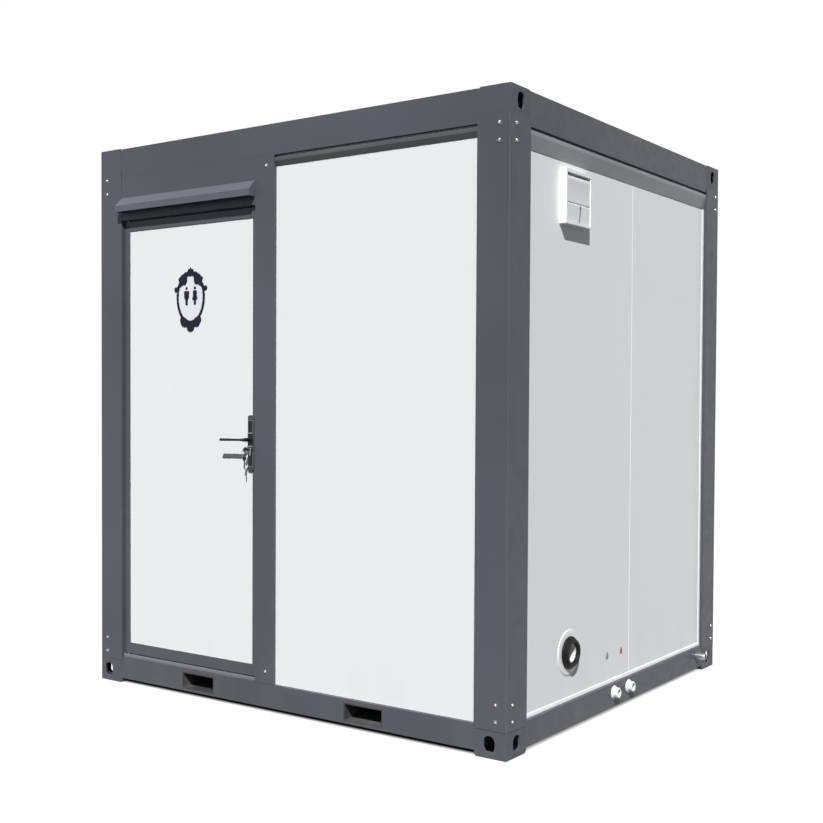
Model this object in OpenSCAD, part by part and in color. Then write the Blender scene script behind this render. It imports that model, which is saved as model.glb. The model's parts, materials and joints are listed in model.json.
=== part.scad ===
/* [Overall] */
// Width of the cabin across the corner posts, along X
body_w = 2110; // [1900:10:2600]
// Depth of the cabin across the corner posts, along Y
body_d = 1920; // [1750:10:2500]
// Height of the cabin over its corner castings
body_h = 2350; // [2320:10:2700]

/* [Corner castings] */
// Height of a corner casting
cast_h = 100; // [90:1:120]
// Wall of a corner casting
cast_wall = 8; // [5:1:12]
// How far the castings lie behind the post faces
cast_inset = 1.5; // [1:0.5:6]
// Width of the lifting slot
slot_w = 46; // [36:1:54]
// Height of the lifting slot
slot_h = 60; // [50:1:70]
// Distance of a slot's centre from the cabin's edge
slot_from_edge = 72; // [60:1:76]
// The same distance for the end slot at the left of the door side
slot_from_left = 50; // [46:1:76]
// Chamfer under the inner ends of a casting
cast_chamfer = 9; // [2:1:14]

/* [Corner posts] */
// Post face on the door side and the back, along X
post_front_w = 135; // [124:1:145]
// Post face on the left and right, along Y
post_side_w = 140; // [124:1:150]
// Closed core of the post behind its faces
post_core = 108; // [96:1:114]
// Sheet thickness of the posts
post_wall = 3; // [2:0.5:4]
// Radius of the post's outer edge
post_edge_r = 6; // [4:0.5:10]
// Depth of the wall panels behind the post faces
panel_recess = 17; // [12:1:22]

/* [Beams] */
// Underside of the base beams above the ground
base_beam_z = 20; // [15:1:26]
// Height of the base beams
base_beam_h = 95; // [92:1:140]
// Height of the roof beams
roof_beam_h = 124; // [110:1:150]
// How far the roof beams lie under the top of the castings
roof_beam_drop = 3; // [1:0.5:6]
// Depth of all beams
beam_depth = 70; // [68:1:90]
// Sheet thickness of the beams
beam_wall = 3.5; // [2.5:0.5:5]
// How far the beams lie behind the post faces
beam_inset = 2.5; // [2:0.5:8]

/* [Fork pockets] */
// Clear width of a fork pocket
pocket_w = 176; // [150:1:220]
// Clear height of a fork pocket
pocket_h = 60; // [50:1:62]
// Wall of a fork pocket
pocket_wall = 4; // [2:0.5:6]
// Height of the pocket's centre above the ground
pocket_z = 65; // [62:1:70]
// Distance between the centres of the two pockets
pocket_pitch = 873; // [760:1:940]

// How far the pair of pockets lies left of the middle
pocket_shift = 14; // [0:1:20]

/* [Frame bolts] */
// Radius of a bolt's shank
bolt_r = 5; // [4:0.5:6]
// Radius of a bolt's head across its corners
bolt_head_r = 9.5; // [8:0.5:12]
// Height of a bolt's head
bolt_head_h = 6; // [4:0.5:9]
// Distance of the outer bolt from the cabin's top or bottom
bolt_from_end = 133; // [125:1:150]
// Distance between the two bolts of a pair
bolt_pitch = 60; // [40:1:90]
// Distance of the bolts on the door side and the back from the cabin's edge
bolt_inset = 45; // [36:1:60]
// Distance of the bolts on the left and right from the cabin's edge
bolt_inset_side = 38; // [34:1:60]
// Distance of the door post's lower bolt from the base beam
post_bolt_low = 50; // [30:1:70]
// Distance of the door post's upper bolt from the roof beam
post_bolt_high = 38; // [30:1:70]
// How far the door post's bolts lie right of its middle
post_bolt_shift = 10; // [0:1:11]

/* [Wall panels] */
// Thickness of a sandwich panel
panel_t = 50; // [48:1:60]
// Thickness of a panel's sheet skins
panel_skin = 1; // [0.8:0.1:2]
// Height of the drip profile on the door side and the back
drip_h_front = 35; // [20:1:60]
// Height of the drip profile on the left and right
drip_h_side = 68; // [40:1:90]
// Thickness of the drip profiles
drip_t = 12; // [8:1:12]
// Upright part of a drip profile's face
drip_face = 16; // [12:1:18]
// Thickness of a drip profile at its lower edge
drip_lip = 1.5; // [1:0.5:4]
// Dark gap between a roof beam and the drip profile
drip_gap = 8; // [4:1:12]
// How far the joint of the side wall panels lies behind the middle
panel_joint = 58; // [0:1:100]

/* [Floor and roof] */
// Width of a floor joist
joist_w = 40; // [30:1:60]
// Height of a floor joist
joist_h = 80; // [60:1:96]
// Distance of the inner pair of joists from the middle
joist_inner_x = 215; // [120:1:300]
// Distance of the outer pair of joists from the middle
joist_outer_x = 790; // [640:1:880]
// Thickness of the floor board
board_t = 18; // [12:1:24]
// Thickness of the floor covering
covering_t = 3; // [2:0.5:5]
// Thickness of the roof panel
roof_panel_t = 50; // [30:1:60]
// Depth of the roof panel under the top of the beams
roof_panel_drop = 22; // [10:1:40]
// Thickness of the ceiling panel
ceiling_t = 8; // [6:1:14]

/* [Door opening] */
// Width between the left post and the door post
door_opening_w = 791; // [760:1:900]
// Height of the header between the opening and the roof beam
door_header_h = 188; // [150:1:230]
// How far the header lies behind the post faces
header_inset = 1; // [0.5:0.5:4]
// Face width of the door post
door_post_w = 100; // [90:1:120]
// Width of the door post behind the wall panel's edge
door_post_core = 70; // [60:1:76]
// Thickness of the frame liner
liner_t = 2; // [1.5:0.5:3]
// Height of the frame's sill
sill_h = 13; // [4:1:16]
// Width of the door stop
stop_w = 22; // [18:1:26]

/* [Door leaf] */
// Gap round the door leaf
leaf_gap = 5; // [4.5:0.5:7]
// Thickness of the door leaf
leaf_t = 40; // [38:1:41]
// Face width of the stile at the pivots
stile_w = 29; // [27:1:46]
// Face width of the stile at the lock
lock_stile_w = 19; // [19:1:40]
// Face height of the leaf's top rail
top_rail_h = 41; // [34:1:60]
// Face height of the leaf's bottom rail
bottom_rail_h = 47; // [40:1:90]
// Thickness of the leaf's infill panel
infill_t = 30; // [24:1:32]
// How far the infill lies behind the leaf's face
infill_set = 3; // [2:0.5:4]
// Depth of the groove that holds the infill
infill_tuck = 8; // [5:1:10]
// Distance of the pivot axis from the leaf's edge and face
pivot_in = 9; // [8.5:0.5:11]
// Radius of a pivot pin
pivot_r = 4; // [3:0.5:5]
// Length of a pivot pin inside the leaf
pivot_l = 30; // [20:1:36]

/* [Lock] */
// Height of the lever axis above the ground
lever_z = 1093; // [1000:1:1150]
// Distance of the lock's axes from the leaf's edge
backset = 26; // [25:1:32]
// Distance of the key below the lever
key_drop = 40; // [38:1:50]
// Width of a lock plate
plate_w = 34; // [32:1:36]
// Length of a lock plate
plate_l = 228; // [220:1:260]
// Thickness of a lock plate
plate_t = 6; // [4:0.5:8]
// Distance of a lock plate's middle below the lever
plate_drop = 15; // [5:1:20]
// Margin round a lock plate's raised field
plate_margin = 4; // [3:0.5:6]
// Height of the block under the lever and the key
block_l = 52; // [48:1:60]
// Thickness of that block
block_t = 2.5; // [1:0.5:2.5]
// Length of a lever from its axis
lever_l = 126; // [100:1:128]
// Distance of a lever's arm in front of its plate
lever_reach = 51; // [36:1:60]
// Height of a lever's arm
lever_arm_h = 12; // [10:1:13]
// Radius of a lever's neck
lever_neck_r = 8; // [6:0.5:9]
// Radius of the spindle
spindle_r = 4.5; // [4:0.5:5]
// Throw of the latch bolt
latch_throw = 12; // [10:1:14]
// Radius of the key plug
plug_r = 5.5; // [5:0.5:6]
// Radius of a key's bow
bow_r = 11; // [10:0.5:12]
// Distance of a key's bow in front of the lock cylinder
bow_reach = 27; // [20:1:32]
// Length of the second key's blade
blade_l = 38; // [28:1:44]
// Radius of the key ring to the middle of its wire
ring_r = 14; // [12:0.5:15]

/* [Rain hood] */
// How far the hood stands out of the header
hood_out = 37; // [30:1:60]
// Height of the hood's top over the door opening
hood_over = 98; // [80:1:120]
// Height of the hood's sloping top
hood_slope_h = 37; // [25:1:45]
// Height of the hood's front lip
hood_lip_h = 28; // [20:1:35]
// Sheet thickness of the hood
hood_t = 2.5; // [2:0.5:4]

/* [Vent] */
// Distance of the vent and the soil outlet from the door side
service_y = 485; // [420:1:520]
// Distance of the vent's centre from the top of the cabin
vent_from_top = 335; // [320:1:420]
// Width and height of the vent housing
vent_size = 202; // [180:1:210]
// How far the vent stands out of the wall panel
vent_out = 30; // [28:1:50]
// Side and lower wall of the vent housing
vent_wall = 8; // [6:1:10]
// Upper wall of the vent housing
vent_top_wall = 12; // [10:1:18]
// Height of the slot over the upper flap
flap_slot = 12; // [5:1:14]
// Thickness of a vent flap
flap_t = 2.5; // [2:0.5:3]
// Height of the upper flap
upper_flap_h = 96; // [80:1:100]
// Inner radius of the duct
duct_r = 72; // [60:1:76]
// Wall of the duct
duct_wall = 3; // [2:0.5:4]
// Radius of the fan motor
motor_r = 26; // [20:1:30]
// Number of rotor blades
blade_count = 6; // [4:1:8]

/* [Soil outlet] */
// Height of the soil outlet above the ground
outlet_z = 300; // [285:1:320]
// Inner radius of the outlet coupling
outlet_bore_r = 37; // [36:1:42]
// Outer radius of the coupling's neck
outlet_neck_r = 52; // [50:1:56]
// Radius of the coupling's flange
outlet_flange_r = 62; // [60:1:70]
// Radius of the white wall ring
outlet_ring_r = 87; // [80:1:95]
// How far the coupling stands out of the wall panel
outlet_out = 26; // [24:1:50]

/* [Water inlets and drain stub] */
// Distance of the cold water inlet from the door side
inlet_y = 852; // [700:1:860]
// Distance between the two inlets
inlet_pitch = 135; // [90:1:160]
// Height of the inlets above the ground
inlet_z = 77; // [70:1:80]
// Radius of an inlet's flange
inlet_flange_r = 28; // [24:1:30]
// Radius of an inlet's nozzle
inlet_nozzle_r = 20; // [16:1:21]
// Radius of an inlet's bore
inlet_bore_r = 10; // [8:0.5:12]
// How far an inlet stands out of the base beam
inlet_out = 24; // [18:1:40]
// Distance of the drain stub from the back
stub_from_back = 214; // [200:1:420]
// Height of the drain stub above the ground
stub_z = 80; // [60:1:90]
// Outer radius of the drain stub
stub_r = 15; // [12:0.5:17]
// How far the drain stub stands out of the base beam
stub_out = 50; // [30:1:70]

/* [Toilet] */
// Width of the toilet pan at its rim
pan_w = 360; // [340:1:380]
// Length of the toilet pan from the wall
pan_l = 640; // [600:1:680]
// Height of the pan's rim over the floor
pan_h = 400; // [380:1:430]
// Radius of the bowl at its rim
bowl_r = 125; // [110:1:135]
// Thickness of the seat
seat_t = 18; // [14:1:22]
// Thickness of the lid
lid_t = 12; // [8:1:16]
// Angle at which the open lid leans back from level
lid_lean = 96; // [94:1:98]
// Depth of the cistern off the wall
cistern_d = 160; // [140:1:165]
// Width of the cistern
cistern_w = 380; // [340:1:420]
// Height of the cistern over the pan
cistern_h = 360; // [320:1:400]
// Radius of the flush button
flush_r = 22; // [18:1:26]
// Travel of the flush button
flush_travel = 5; // [3:0.5:7]

/* [Washbasin] */
// Distance of the basin's middle from the door side
basin_y = 1420; // [1380:1:1450]
// Width of the basin along the wall
basin_w = 480; // [420:1:520]
// Depth of the basin off the wall
basin_d = 400; // [380:1:440]
// Height of the basin's rim over the floor
basin_z = 820; // [780:1:860]
// Height of the basin's body
basin_h = 150; // [130:1:180]
// Radius of the bowl at its rim
basin_bowl_r = 145; // [120:1:155]
// Height of the tap's body
tap_h = 80; // [60:1:110]
// Radius of the tap's body
tap_r = 21; // [19:1:25]

/* [Small fittings] */
// Radius of the ceiling lamp
lamp_r = 150; // [110:1:200]
// Depth of the ceiling lamp
lamp_h = 52; // [40:1:70]
// Side of the light switch
switch_size = 86; // [76:1:100]
// Height of the light switch over the floor
switch_z = 1150; // [1000:1:1300]
// Angle between the switch rocker's two positions
rocker_angle = 10; // [8:1:12]
// Height of the paper roll over the floor
paper_z = 620; // [550:1:750]
// Radius of the paper roll
paper_r = 52; // [40:1:58]
// Length of the paper roll
paper_l = 100; // [90:1:110]

/* [Hidden] */
$fn = 64;
touch = 0.3;
running = 0.05;
base_top = base_beam_z + base_beam_h;
roof_beam_top = body_h - roof_beam_drop;
roof_beam_z = roof_beam_top - roof_beam_h;
panel_in = panel_recess + touch;
wall_inner = panel_in + panel_t;
beam_inner = beam_inset + beam_depth;
wall_h = roof_beam_z - base_top;
floor_z = base_top + board_t + covering_t;
half_w = body_w / 2;
half_d = body_d / 2;
room_x = half_w - wall_inner - touch;
room_y = half_d - wall_inner - touch;
door_post_x = post_front_w + door_opening_w;
door_top = roof_beam_z - door_header_h;
leaf_x = post_front_w + liner_t + leaf_gap;
leaf_w = door_opening_w - 2 * (liner_t + leaf_gap);
leaf_z = base_top + sill_h + leaf_gap;
leaf_top = door_top - liner_t - leaf_gap + 1;
leaf_edge = leaf_x + leaf_w;
leaf_back = panel_recess + leaf_t;
stop_y = leaf_back + 3;
lock_x = leaf_edge - backset;
key_z = lever_z - key_drop;
lock_y = panel_recess + leaf_t / 2;
lock_stop_x = lock_x + plate_w / 2 + 1.5;
latch_z = lever_z + 28;
latch_h = 14;
bolt_z = (lever_z + key_z) / 2;
stub_y = body_d - stub_from_back;
bolt_h = 18;
bolt_t = 10;
case_t = 16;
case_h = 152;
case_x = lock_x - 12;
case_z = lever_z - 104;
hinge_relief = 5;
forend_t = 2.5;
forend_w = 20;
forend_over = 14;
strike_t = 2;
service_wall = half_w - panel_in;
inner_wall_x = half_w - wall_inner;
outlet_depth = panel_t + 22;
vent_z = body_h - vent_from_top;
vent_low = vent_z - vent_size / 2;
vent_high = vent_z + vent_size / 2;
flap_w = vent_size - 2 * vent_wall - 2;
flap_top = vent_high - vent_top_wall - flap_slot;
lower_flap_top = flap_top - upper_flap_h - 3;
lower_flap_h = lower_flap_top - vent_low - vent_wall - 2;
flap_x = service_wall + vent_out - 5;
pan_z = floor_z + touch;
rim_z = pan_z + pan_h;
pan_back = inner_wall_x - 6;
pan_y = -half_d + service_y;
pan_nose_r = pan_w / 2;
hinge_x = pan_back - cistern_d - lid_t - 12 - cistern_h * sin(lid_lean - 90);
hinge_z = rim_z + 17;
hinge_r = 5;
bowl_x = pan_back - pan_l + pan_nose_r + 12;
seat_z = rim_z + 3;
seat_r = pan_w / 2 + 4;
cistern_z = rim_z + touch;
basin_mid = -half_d + basin_y;
basin_back = inner_wall_x - touch;
rim_basin = floor_z + basin_z;
tap_x = basin_back - 50;
tap_z = rim_basin + touch;
switch_x = -half_w + door_post_x + door_post_w + 90;
paper_x = bowl_x;
front_inner = -half_d + wall_inner + touch;
vent_y = [-half_d + service_y - vent_size / 2, -half_d + service_y + vent_size / 2];
motor_x = half_w - 50;
motor_l = 28;
rotor_x = motor_x - 2;
rotor_l = 14;
key_face = panel_recess - plate_t - 3;
bow_y = key_face - bow_reach;
ring_y = bow_y - bow_r * 0.5;
ring_wire = 1.1;
key_t = 2.4;
bowl_shift = 60;
drain_r = outlet_bore_r - 2;
seat_back = 16;
foot_short = 150;
foot_narrow = 130;
bowl_mid = basin_back - basin_d + 15 + basin_bowl_r;
bracket_d = 60;
bracket_w = 300;
trap_drop = 150;
trap_r = 34;
trap_h = 130;
trap_pipe_r = 16;
trap_nut_r = 24;
trap_nut_h = 10;
trap_rose_r = 30;
trap_rose_t = 6;
spigot_r = 8;
head_h = 14;
spout_l = 130;
tap_pin_r = 3;
tap_pin_z = tap_z + tap_h + touch + head_h + 8;
rocker_w = 38;
rocker_h = 58;
pin_w = 2.5;
roll_y = front_inner + paper_r + 8;
bar_r = 18;

// Distance from the left face and from the door side, as coordinates
function left(d) = -half_w + d;
function front(d) = -half_d + d;
function arc(cx, cy, r, a0, a1, n = 8) =
    [for (k = [0:n]) let (a = a0 + (a1 - a0) * k / n) [cx + r * cos(a), cy + r * sin(a)]];

// A block between two limits on each axis
module span(x, y, z) {
    translate([x[0], y[0], z[0]]) cube([x[1] - x[0], y[1] - y[0], z[1] - z[0]]);
}

// A sandwich panel: a closed sheet shell round its core space
module sandwich(x, y, z) {
    difference() {
        span(x, y, z);
        span([x[0] + panel_skin, x[1] - panel_skin],
             [y[0] + panel_skin, y[1] - panel_skin],
             [z[0] + panel_skin, z[1] - panel_skin]);
    }
}

// A closed box section along X
module beam_x(x, y, z, wall) {
    difference() {
        span(x, y, z);
        span([x[0] - 1, x[1] + 1], [y[0] + wall, y[1] - wall], [z[0] + wall, z[1] - wall]);
    }
}

// A closed box section along Y
module beam_y(x, y, z, wall) {
    difference() {
        span(x, y, z);
        span([x[0] + wall, x[1] - wall], [y[0] - 1, y[1] + 1], [z[0] + wall, z[1] - wall]);
    }
}

// Cylinders along X and Y, from a starting point
module rod_x(p, r, l) { translate(p) rotate([0, 90, 0]) cylinder(r = r, h = l); }
module rod_y(p, r, l) { translate(p) rotate([-90, 0, 0]) cylinder(r = r, h = l); }

// Children drawn at a corner, with +X and +Y pointing inwards, repeated at all four
module at_corners() {
    for (sx = [-1, 1], sy = [-1, 1]) {
        $end_slot = sx * sy > 0 ? slot_from_left : slot_from_edge;
        translate([sx * half_w, sy * half_d, 0])
            mirror([sx > 0 ? 1 : 0, 0, 0])
                mirror([0, sy > 0 ? 1 : 0, 0])
                    children();
    }
}

// Both ends of the height, the upper one mirrored
module at_both_ends() {
    children();
    translate([0, 0, body_h]) mirror([0, 0, 1]) children();
}

// A block with rounded upright edges, centred in X and Y
module rounded_block(w, d, h, r) {
    linear_extrude(h) {
        square([w - 2 * r, d], center = true);
        square([w, d - 2 * r], center = true);
        for (x = [-1, 1], y = [-1, 1])
            translate([x * (w / 2 - r), y * (d / 2 - r)]) circle(r);
    }
}

// An upright slot with round ends, cut along Y from the origin
module slot_cut(l) {
    straight = slot_h - slot_w;
    translate([-slot_w / 2, 0, -straight / 2]) cube([slot_w, l, straight]);
    for (s = [-1, 1]) rod_y([0, 0, s * straight / 2], slot_w / 2, l);
}

module casting(front_slot) {
    reach = cast_wall + cast_inset + 2;
    difference() {
        span([cast_inset, post_front_w], [cast_inset, post_side_w], [0, cast_h]);
        span([cast_inset + cast_wall, post_front_w - cast_wall],
             [cast_inset + cast_wall, post_side_w - cast_wall],
             [cast_wall, cast_h - cast_wall]);
        if (front_slot) translate([$end_slot, -1, cast_h / 2]) slot_cut(reach);
        translate([-1, slot_from_edge, cast_h / 2]) rotate([0, 0, -90])
            mirror([1, 0, 0]) slot_cut(reach);
        translate([post_front_w / 2, post_side_w / 2, -1]) cylinder(r = slot_w / 2, h = reach);
        for (p = [[post_front_w, 0, 0], [0, post_side_w, 90]])
            translate([p[0], p[1], 0]) rotate([0, 0, p[2]]) rotate([0, 45, 0])
                cube([cast_chamfer * sqrt(2), 2 * post_side_w + 2 * post_front_w,
                      cast_chamfer * sqrt(2)], center = true);
    }
}

module base_corner_castings() {
    color([0.27, 0.28, 0.31]) at_corners() casting(true);
}

module roof_corner_castings() {
    color([0.27, 0.28, 0.31]) translate([0, 0, body_h]) mirror([0, 0, 1])
        at_corners() casting(false);
}

// Section of a corner post: a closed core with a flange over each wall's edge
module post_section() {
    w = post_wall;
    r = post_edge_r;
    difference() {
        polygon(concat(arc(r, r, r, 180, 270),
            [[post_front_w, 0], [post_front_w, panel_recess], [post_core, panel_recess],
             [post_core, post_core], [panel_recess, post_core],
             [panel_recess, post_side_w], [0, post_side_w]]));
        polygon(concat(arc(r, r, r - w, 180, 270),
            [[post_front_w - w, w], [post_front_w - w, panel_recess - w],
             [post_core - w, panel_recess - w], [post_core - w, post_core - w],
             [panel_recess - w, post_core - w], [panel_recess - w, post_side_w - w],
             [w, post_side_w - w]]));
    }
}

module bolt_cut(r) {
    for (k = [0, 1], side = [0, 1]) {
        z = bolt_from_end + k * bolt_pitch;
        if (side == 0) rod_y([bolt_inset, -1, z], r, post_wall + 2);
        else rod_x([-1, bolt_inset_side, z], r, post_wall + 2);
    }
}

module corner_posts() {
    color([0.27, 0.28, 0.31]) at_corners() difference() {
        translate([0, 0, cast_h]) linear_extrude(body_h - 2 * cast_h) post_section();
        at_both_ends() bolt_cut(bolt_r + touch);
    }
}

module door_post() {
    x = left(door_post_x);
    y = front(cast_inset);
    w = post_wall;
    back = wall_inner - cast_inset;
    fold = panel_recess - cast_inset;
    outer = [[0, 0], [door_post_w, 0], [door_post_w, fold], [door_post_core, fold],
             [door_post_core, back], [0, back]];
    inner = [[w, w], [door_post_w - w, w], [door_post_w - w, fold - w],
             [door_post_core - w, fold - w], [door_post_core - w, back - w], [w, back - w]];
    color([0.27, 0.28, 0.31]) difference() {
        translate([x, y, base_top]) linear_extrude(wall_h) difference() {
            polygon(outer);
            polygon(inner);
        }
        door_post_bolts() rod_y([0, -1, 0], bolt_r + touch, w + 2);
        span([x - 1, x + w + 1], front_span(bolt_t + 2),
             [latch_z - latch_h / 2 - 1, latch_z + latch_h / 2 + 1]);
        span([x - 1, x + w + 1], front_span(bolt_t + 2),
             [bolt_z - bolt_h / 2 - 1, bolt_z + bolt_h / 2 + 1]);
    }
}

// Limits along Y of a piece centred on the lock's plane
function front_span(t) = [front(lock_y - t / 2), front(lock_y + t / 2)];

module door_post_bolts() {
    for (z = [base_top + post_bolt_low, roof_beam_z - post_bolt_high])
        translate([left(door_post_x + door_post_w / 2 + post_bolt_shift), front(cast_inset), z])
            children();
}

function pocket_x(s) = s * pocket_pitch / 2 - pocket_shift;

module pocket_cuts(y) {
    for (s = [-1, 1])
        span([pocket_x(s) - pocket_w / 2 - pocket_wall - touch,
              pocket_x(s) + pocket_w / 2 + pocket_wall + touch], y,
             [pocket_z - pocket_h / 2 - pocket_wall - touch,
              pocket_z + pocket_h / 2 + pocket_wall + touch]);
}

module base_cross_beams() {
    x = [left(post_front_w), -left(post_front_w)];
    color([0.27, 0.28, 0.31]) for (s = [-1, 1]) {
        y = s < 0 ? [front(beam_inset), front(beam_inner)] : [-front(beam_inner), -front(beam_inset)];
        difference() {
            beam_x(x, y, [base_beam_z, base_top], beam_wall);
            pocket_cuts([y[0] - 1, y[1] + 1]);
        }
    }
}

module base_side_beams() {
    y = [front(post_side_w), -front(post_side_w)];
    color([0.27, 0.28, 0.31]) {
        beam_y([left(beam_inset), left(beam_inner)], y, [base_beam_z, base_top], beam_wall);
        difference() {
            beam_y([-left(beam_inner), -left(beam_inset)], y, [base_beam_z, base_top], beam_wall);
            for (k = [0, 1])
                rod_x([-left(beam_inner) - 1, front(inlet_y + k * inlet_pitch), inlet_z],
                      inlet_nozzle_r + touch, beam_depth + 2);
            rod_x([-left(beam_inner) - 1, front(stub_y), stub_z], stub_r - 1 + touch,
                  beam_depth + 2);
        }
    }
}

module fork_pockets() {
    y = [front(beam_inset), -front(beam_inset)];
    color([0.16, 0.16, 0.18]) for (s = [-1, 1]) {
        x = pocket_x(s);
        difference() {
            span([x - pocket_w / 2 - pocket_wall, x + pocket_w / 2 + pocket_wall], y,
                 [pocket_z - pocket_h / 2 - pocket_wall, pocket_z + pocket_h / 2 + pocket_wall]);
            span([x - pocket_w / 2, x + pocket_w / 2], [y[0] - 1, y[1] + 1],
                 [pocket_z - pocket_h / 2, pocket_z + pocket_h / 2]);
        }
    }
}

module floor_joists() {
    color([0.2, 0.2, 0.22]) for (x = [joist_inner_x, joist_outer_x], s = [-1, 1])
        beam_y([s * x - joist_w / 2, s * x + joist_w / 2],
               [front(beam_inner), -front(beam_inner)],
               [base_top - joist_h, base_top], beam_wall);
}

// A sheet as wide as the room, notched round the posts
module room_sheet(z) {
    difference() {
        span([-room_x, room_x], [-room_y, room_y], z);
        at_corners() span([0, post_core + touch], [0, post_core + touch], [0, body_h]);
    }
}

module floor_board() {
    color([0.62, 0.6, 0.55]) room_sheet([base_top, base_top + board_t]);
}

module floor_covering() {
    color([0.55, 0.57, 0.6]) room_sheet([base_top + board_t, floor_z]);
}

module roof_beams() {
    x = [left(post_front_w), -left(post_front_w)];
    y = [front(post_side_w), -front(post_side_w)];
    z = [roof_beam_z, roof_beam_top];
    color([0.27, 0.28, 0.31]) {
        beam_x(x, [front(beam_inset), front(beam_inner)], z, beam_wall);
        beam_x(x, [-front(beam_inner), -front(beam_inset)], z, beam_wall);
        beam_y([left(beam_inset), left(beam_inner)], y, z, beam_wall);
        beam_y([-left(beam_inner), -left(beam_inset)], y, z, beam_wall);
    }
}

// The roof panel lies between the beams, notched round the posts, with ribs along X
module roof_panel() {
    x = half_w - beam_inner - touch;
    y = half_d - beam_inner - touch;
    low = roof_beam_top - roof_panel_drop - roof_panel_t;
    rib = 14;
    color([0.84, 0.86, 0.87]) difference() {
        union() {
            sandwich([-x, x], [-y, y], [low, low + roof_panel_t]);
            for (k = [-3:3])
                span([-x + post_core, x - post_core],
                     [k * y / 3.6 - rib, k * y / 3.6 + rib],
                     [low + roof_panel_t, low + roof_panel_t + rib / 2]);
        }
        at_corners() span([0, post_front_w + touch], [0, post_side_w + touch], [0, body_h + 1]);
    }
}

module ceiling_panel() {
    color([0.93, 0.94, 0.94]) room_sheet([roof_beam_z - ceiling_t, roof_beam_z]);
}

// A bolt along +Y from a face at the origin, with its washer and nut
module bolt() {
    rod_y([0, -bolt_head_h, 0], bolt_head_r, bolt_head_h);
    rod_y([0, -touch, 0], bolt_r, post_wall + 10);
    translate([0, post_wall, 0]) rotate([-90, 0, 0]) cylinder(r = bolt_head_r, h = 7, $fn = 6);
}

module frame_bolts() {
    color([0.78, 0.79, 0.8]) {
        at_corners() at_both_ends() for (k = [0, 1]) {
            z = bolt_from_end + k * bolt_pitch;
            translate([bolt_inset, 0, z]) bolt();
            translate([0, bolt_inset_side, z]) rotate([0, 0, -90]) bolt();
        }
        door_post_bolts() bolt();
    }
}

// Section of a drip profile: rounded at the top, upright below, then sloping back to the wall
module drip_section(h) {
    r = drip_t / 2;
    polygon(concat([[0, 0], [drip_lip, 0], [drip_t, h - drip_face]], arc(r, h - r, r, 0, 90), [[0, h]]));
}

module drip_profiles() {
    z = roof_beam_z - drip_gap;
    face = panel_in - touch;
    x0 = left(door_post_x + door_post_w) + touch;
    x1 = half_w - post_front_w - touch;
    y1 = half_d - post_side_w - touch;
    color([0.45, 0.46, 0.48]) {
        translate([x1, -half_d + face, z - drip_h_front])
            rotate([90, 0, -90]) linear_extrude(x1 - x0) drip_section(drip_h_front);
        translate([-x1, half_d - face, z - drip_h_front])
            rotate([90, 0, 90]) linear_extrude(2 * x1) drip_section(drip_h_front);
        translate([half_w - face, y1, z - drip_h_side])
            rotate([90, 0, 0]) linear_extrude(2 * y1) drip_section(drip_h_side);
        translate([-half_w + face, -y1, z - drip_h_side])
            rotate([90, 0, 180]) linear_extrude(2 * y1) drip_section(drip_h_side);
    }
}

module front_wall_panel() {
    color([0.93, 0.94, 0.94]) sandwich(
        [left(door_post_x + door_post_core + touch), half_w - post_core - touch],
        [front(panel_in), front(wall_inner)], [base_top, roof_beam_z]);
}

module door_header_panel() {
    color([0.27, 0.28, 0.31]) sandwich(
        [left(post_front_w + touch), left(door_post_x - touch)],
        [front(header_inset), front(wall_inner)], [door_top + touch, roof_beam_z]);
}

// Openings through the right wall for the duct and the soil outlet
module service_cuts() {
    x = service_wall - panel_t - 1;
    rod_x([x, front(service_y), vent_z], duct_r + duct_wall + touch, panel_t + 2);
    rod_x([x, front(service_y), outlet_z], outlet_neck_r + touch, panel_t + 2);
}

module side_panel(s, y) {
    x = [inner_wall_x, service_wall];
    sandwich(s > 0 ? x : [-x[1], -x[0]], y, [base_top, roof_beam_z]);
}

module service_wall_panel() {
    color([0.93, 0.94, 0.94]) difference() {
        side_panel(1, [front(post_core + touch), panel_joint - touch]);
        service_cuts();
    }
}

module side_wall_panels() {
    color([0.93, 0.94, 0.94]) {
        side_panel(-1, [front(post_core + touch), panel_joint - touch]);
        for (s = [-1, 1]) side_panel(s, [panel_joint + touch, -front(post_core + touch)]);
    }
}

module back_wall_panels() {
    y = [-front(wall_inner), -front(panel_in)];
    x = half_w - post_core - touch;
    color([0.93, 0.94, 0.94]) {
        sandwich([-x, -touch], y, [base_top, roof_beam_z]);
        sandwich([touch, x], y, [base_top, roof_beam_z]);
    }
}

// The hood is a bent sheet with two end caps, open below
module rain_hood() {
    top = hood_slope_h + hood_lip_h;
    t = hood_t;
    outer = [[0, 0], [hood_out, 0], [hood_out, hood_lip_h], [0, top]];
    inner = [[-1, -1], [hood_out - t, -1], [hood_out - t, hood_lip_h - t / 2], [-1, top - 1.5 * t]];
    x = left(post_front_w) + touch;
    l = door_opening_w - 2 * touch;
    color([0.3, 0.31, 0.34]) translate([x, front(header_inset), door_top + hood_over - top])
        mirror([0, 1, 0]) rotate([90, 0, 90]) {
            linear_extrude(l) difference() {
                polygon(outer);
                polygon(inner);
            }
            for (z = [0, l - t]) translate([0, 0, z]) linear_extrude(t) polygon(outer);
        }
}

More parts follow.
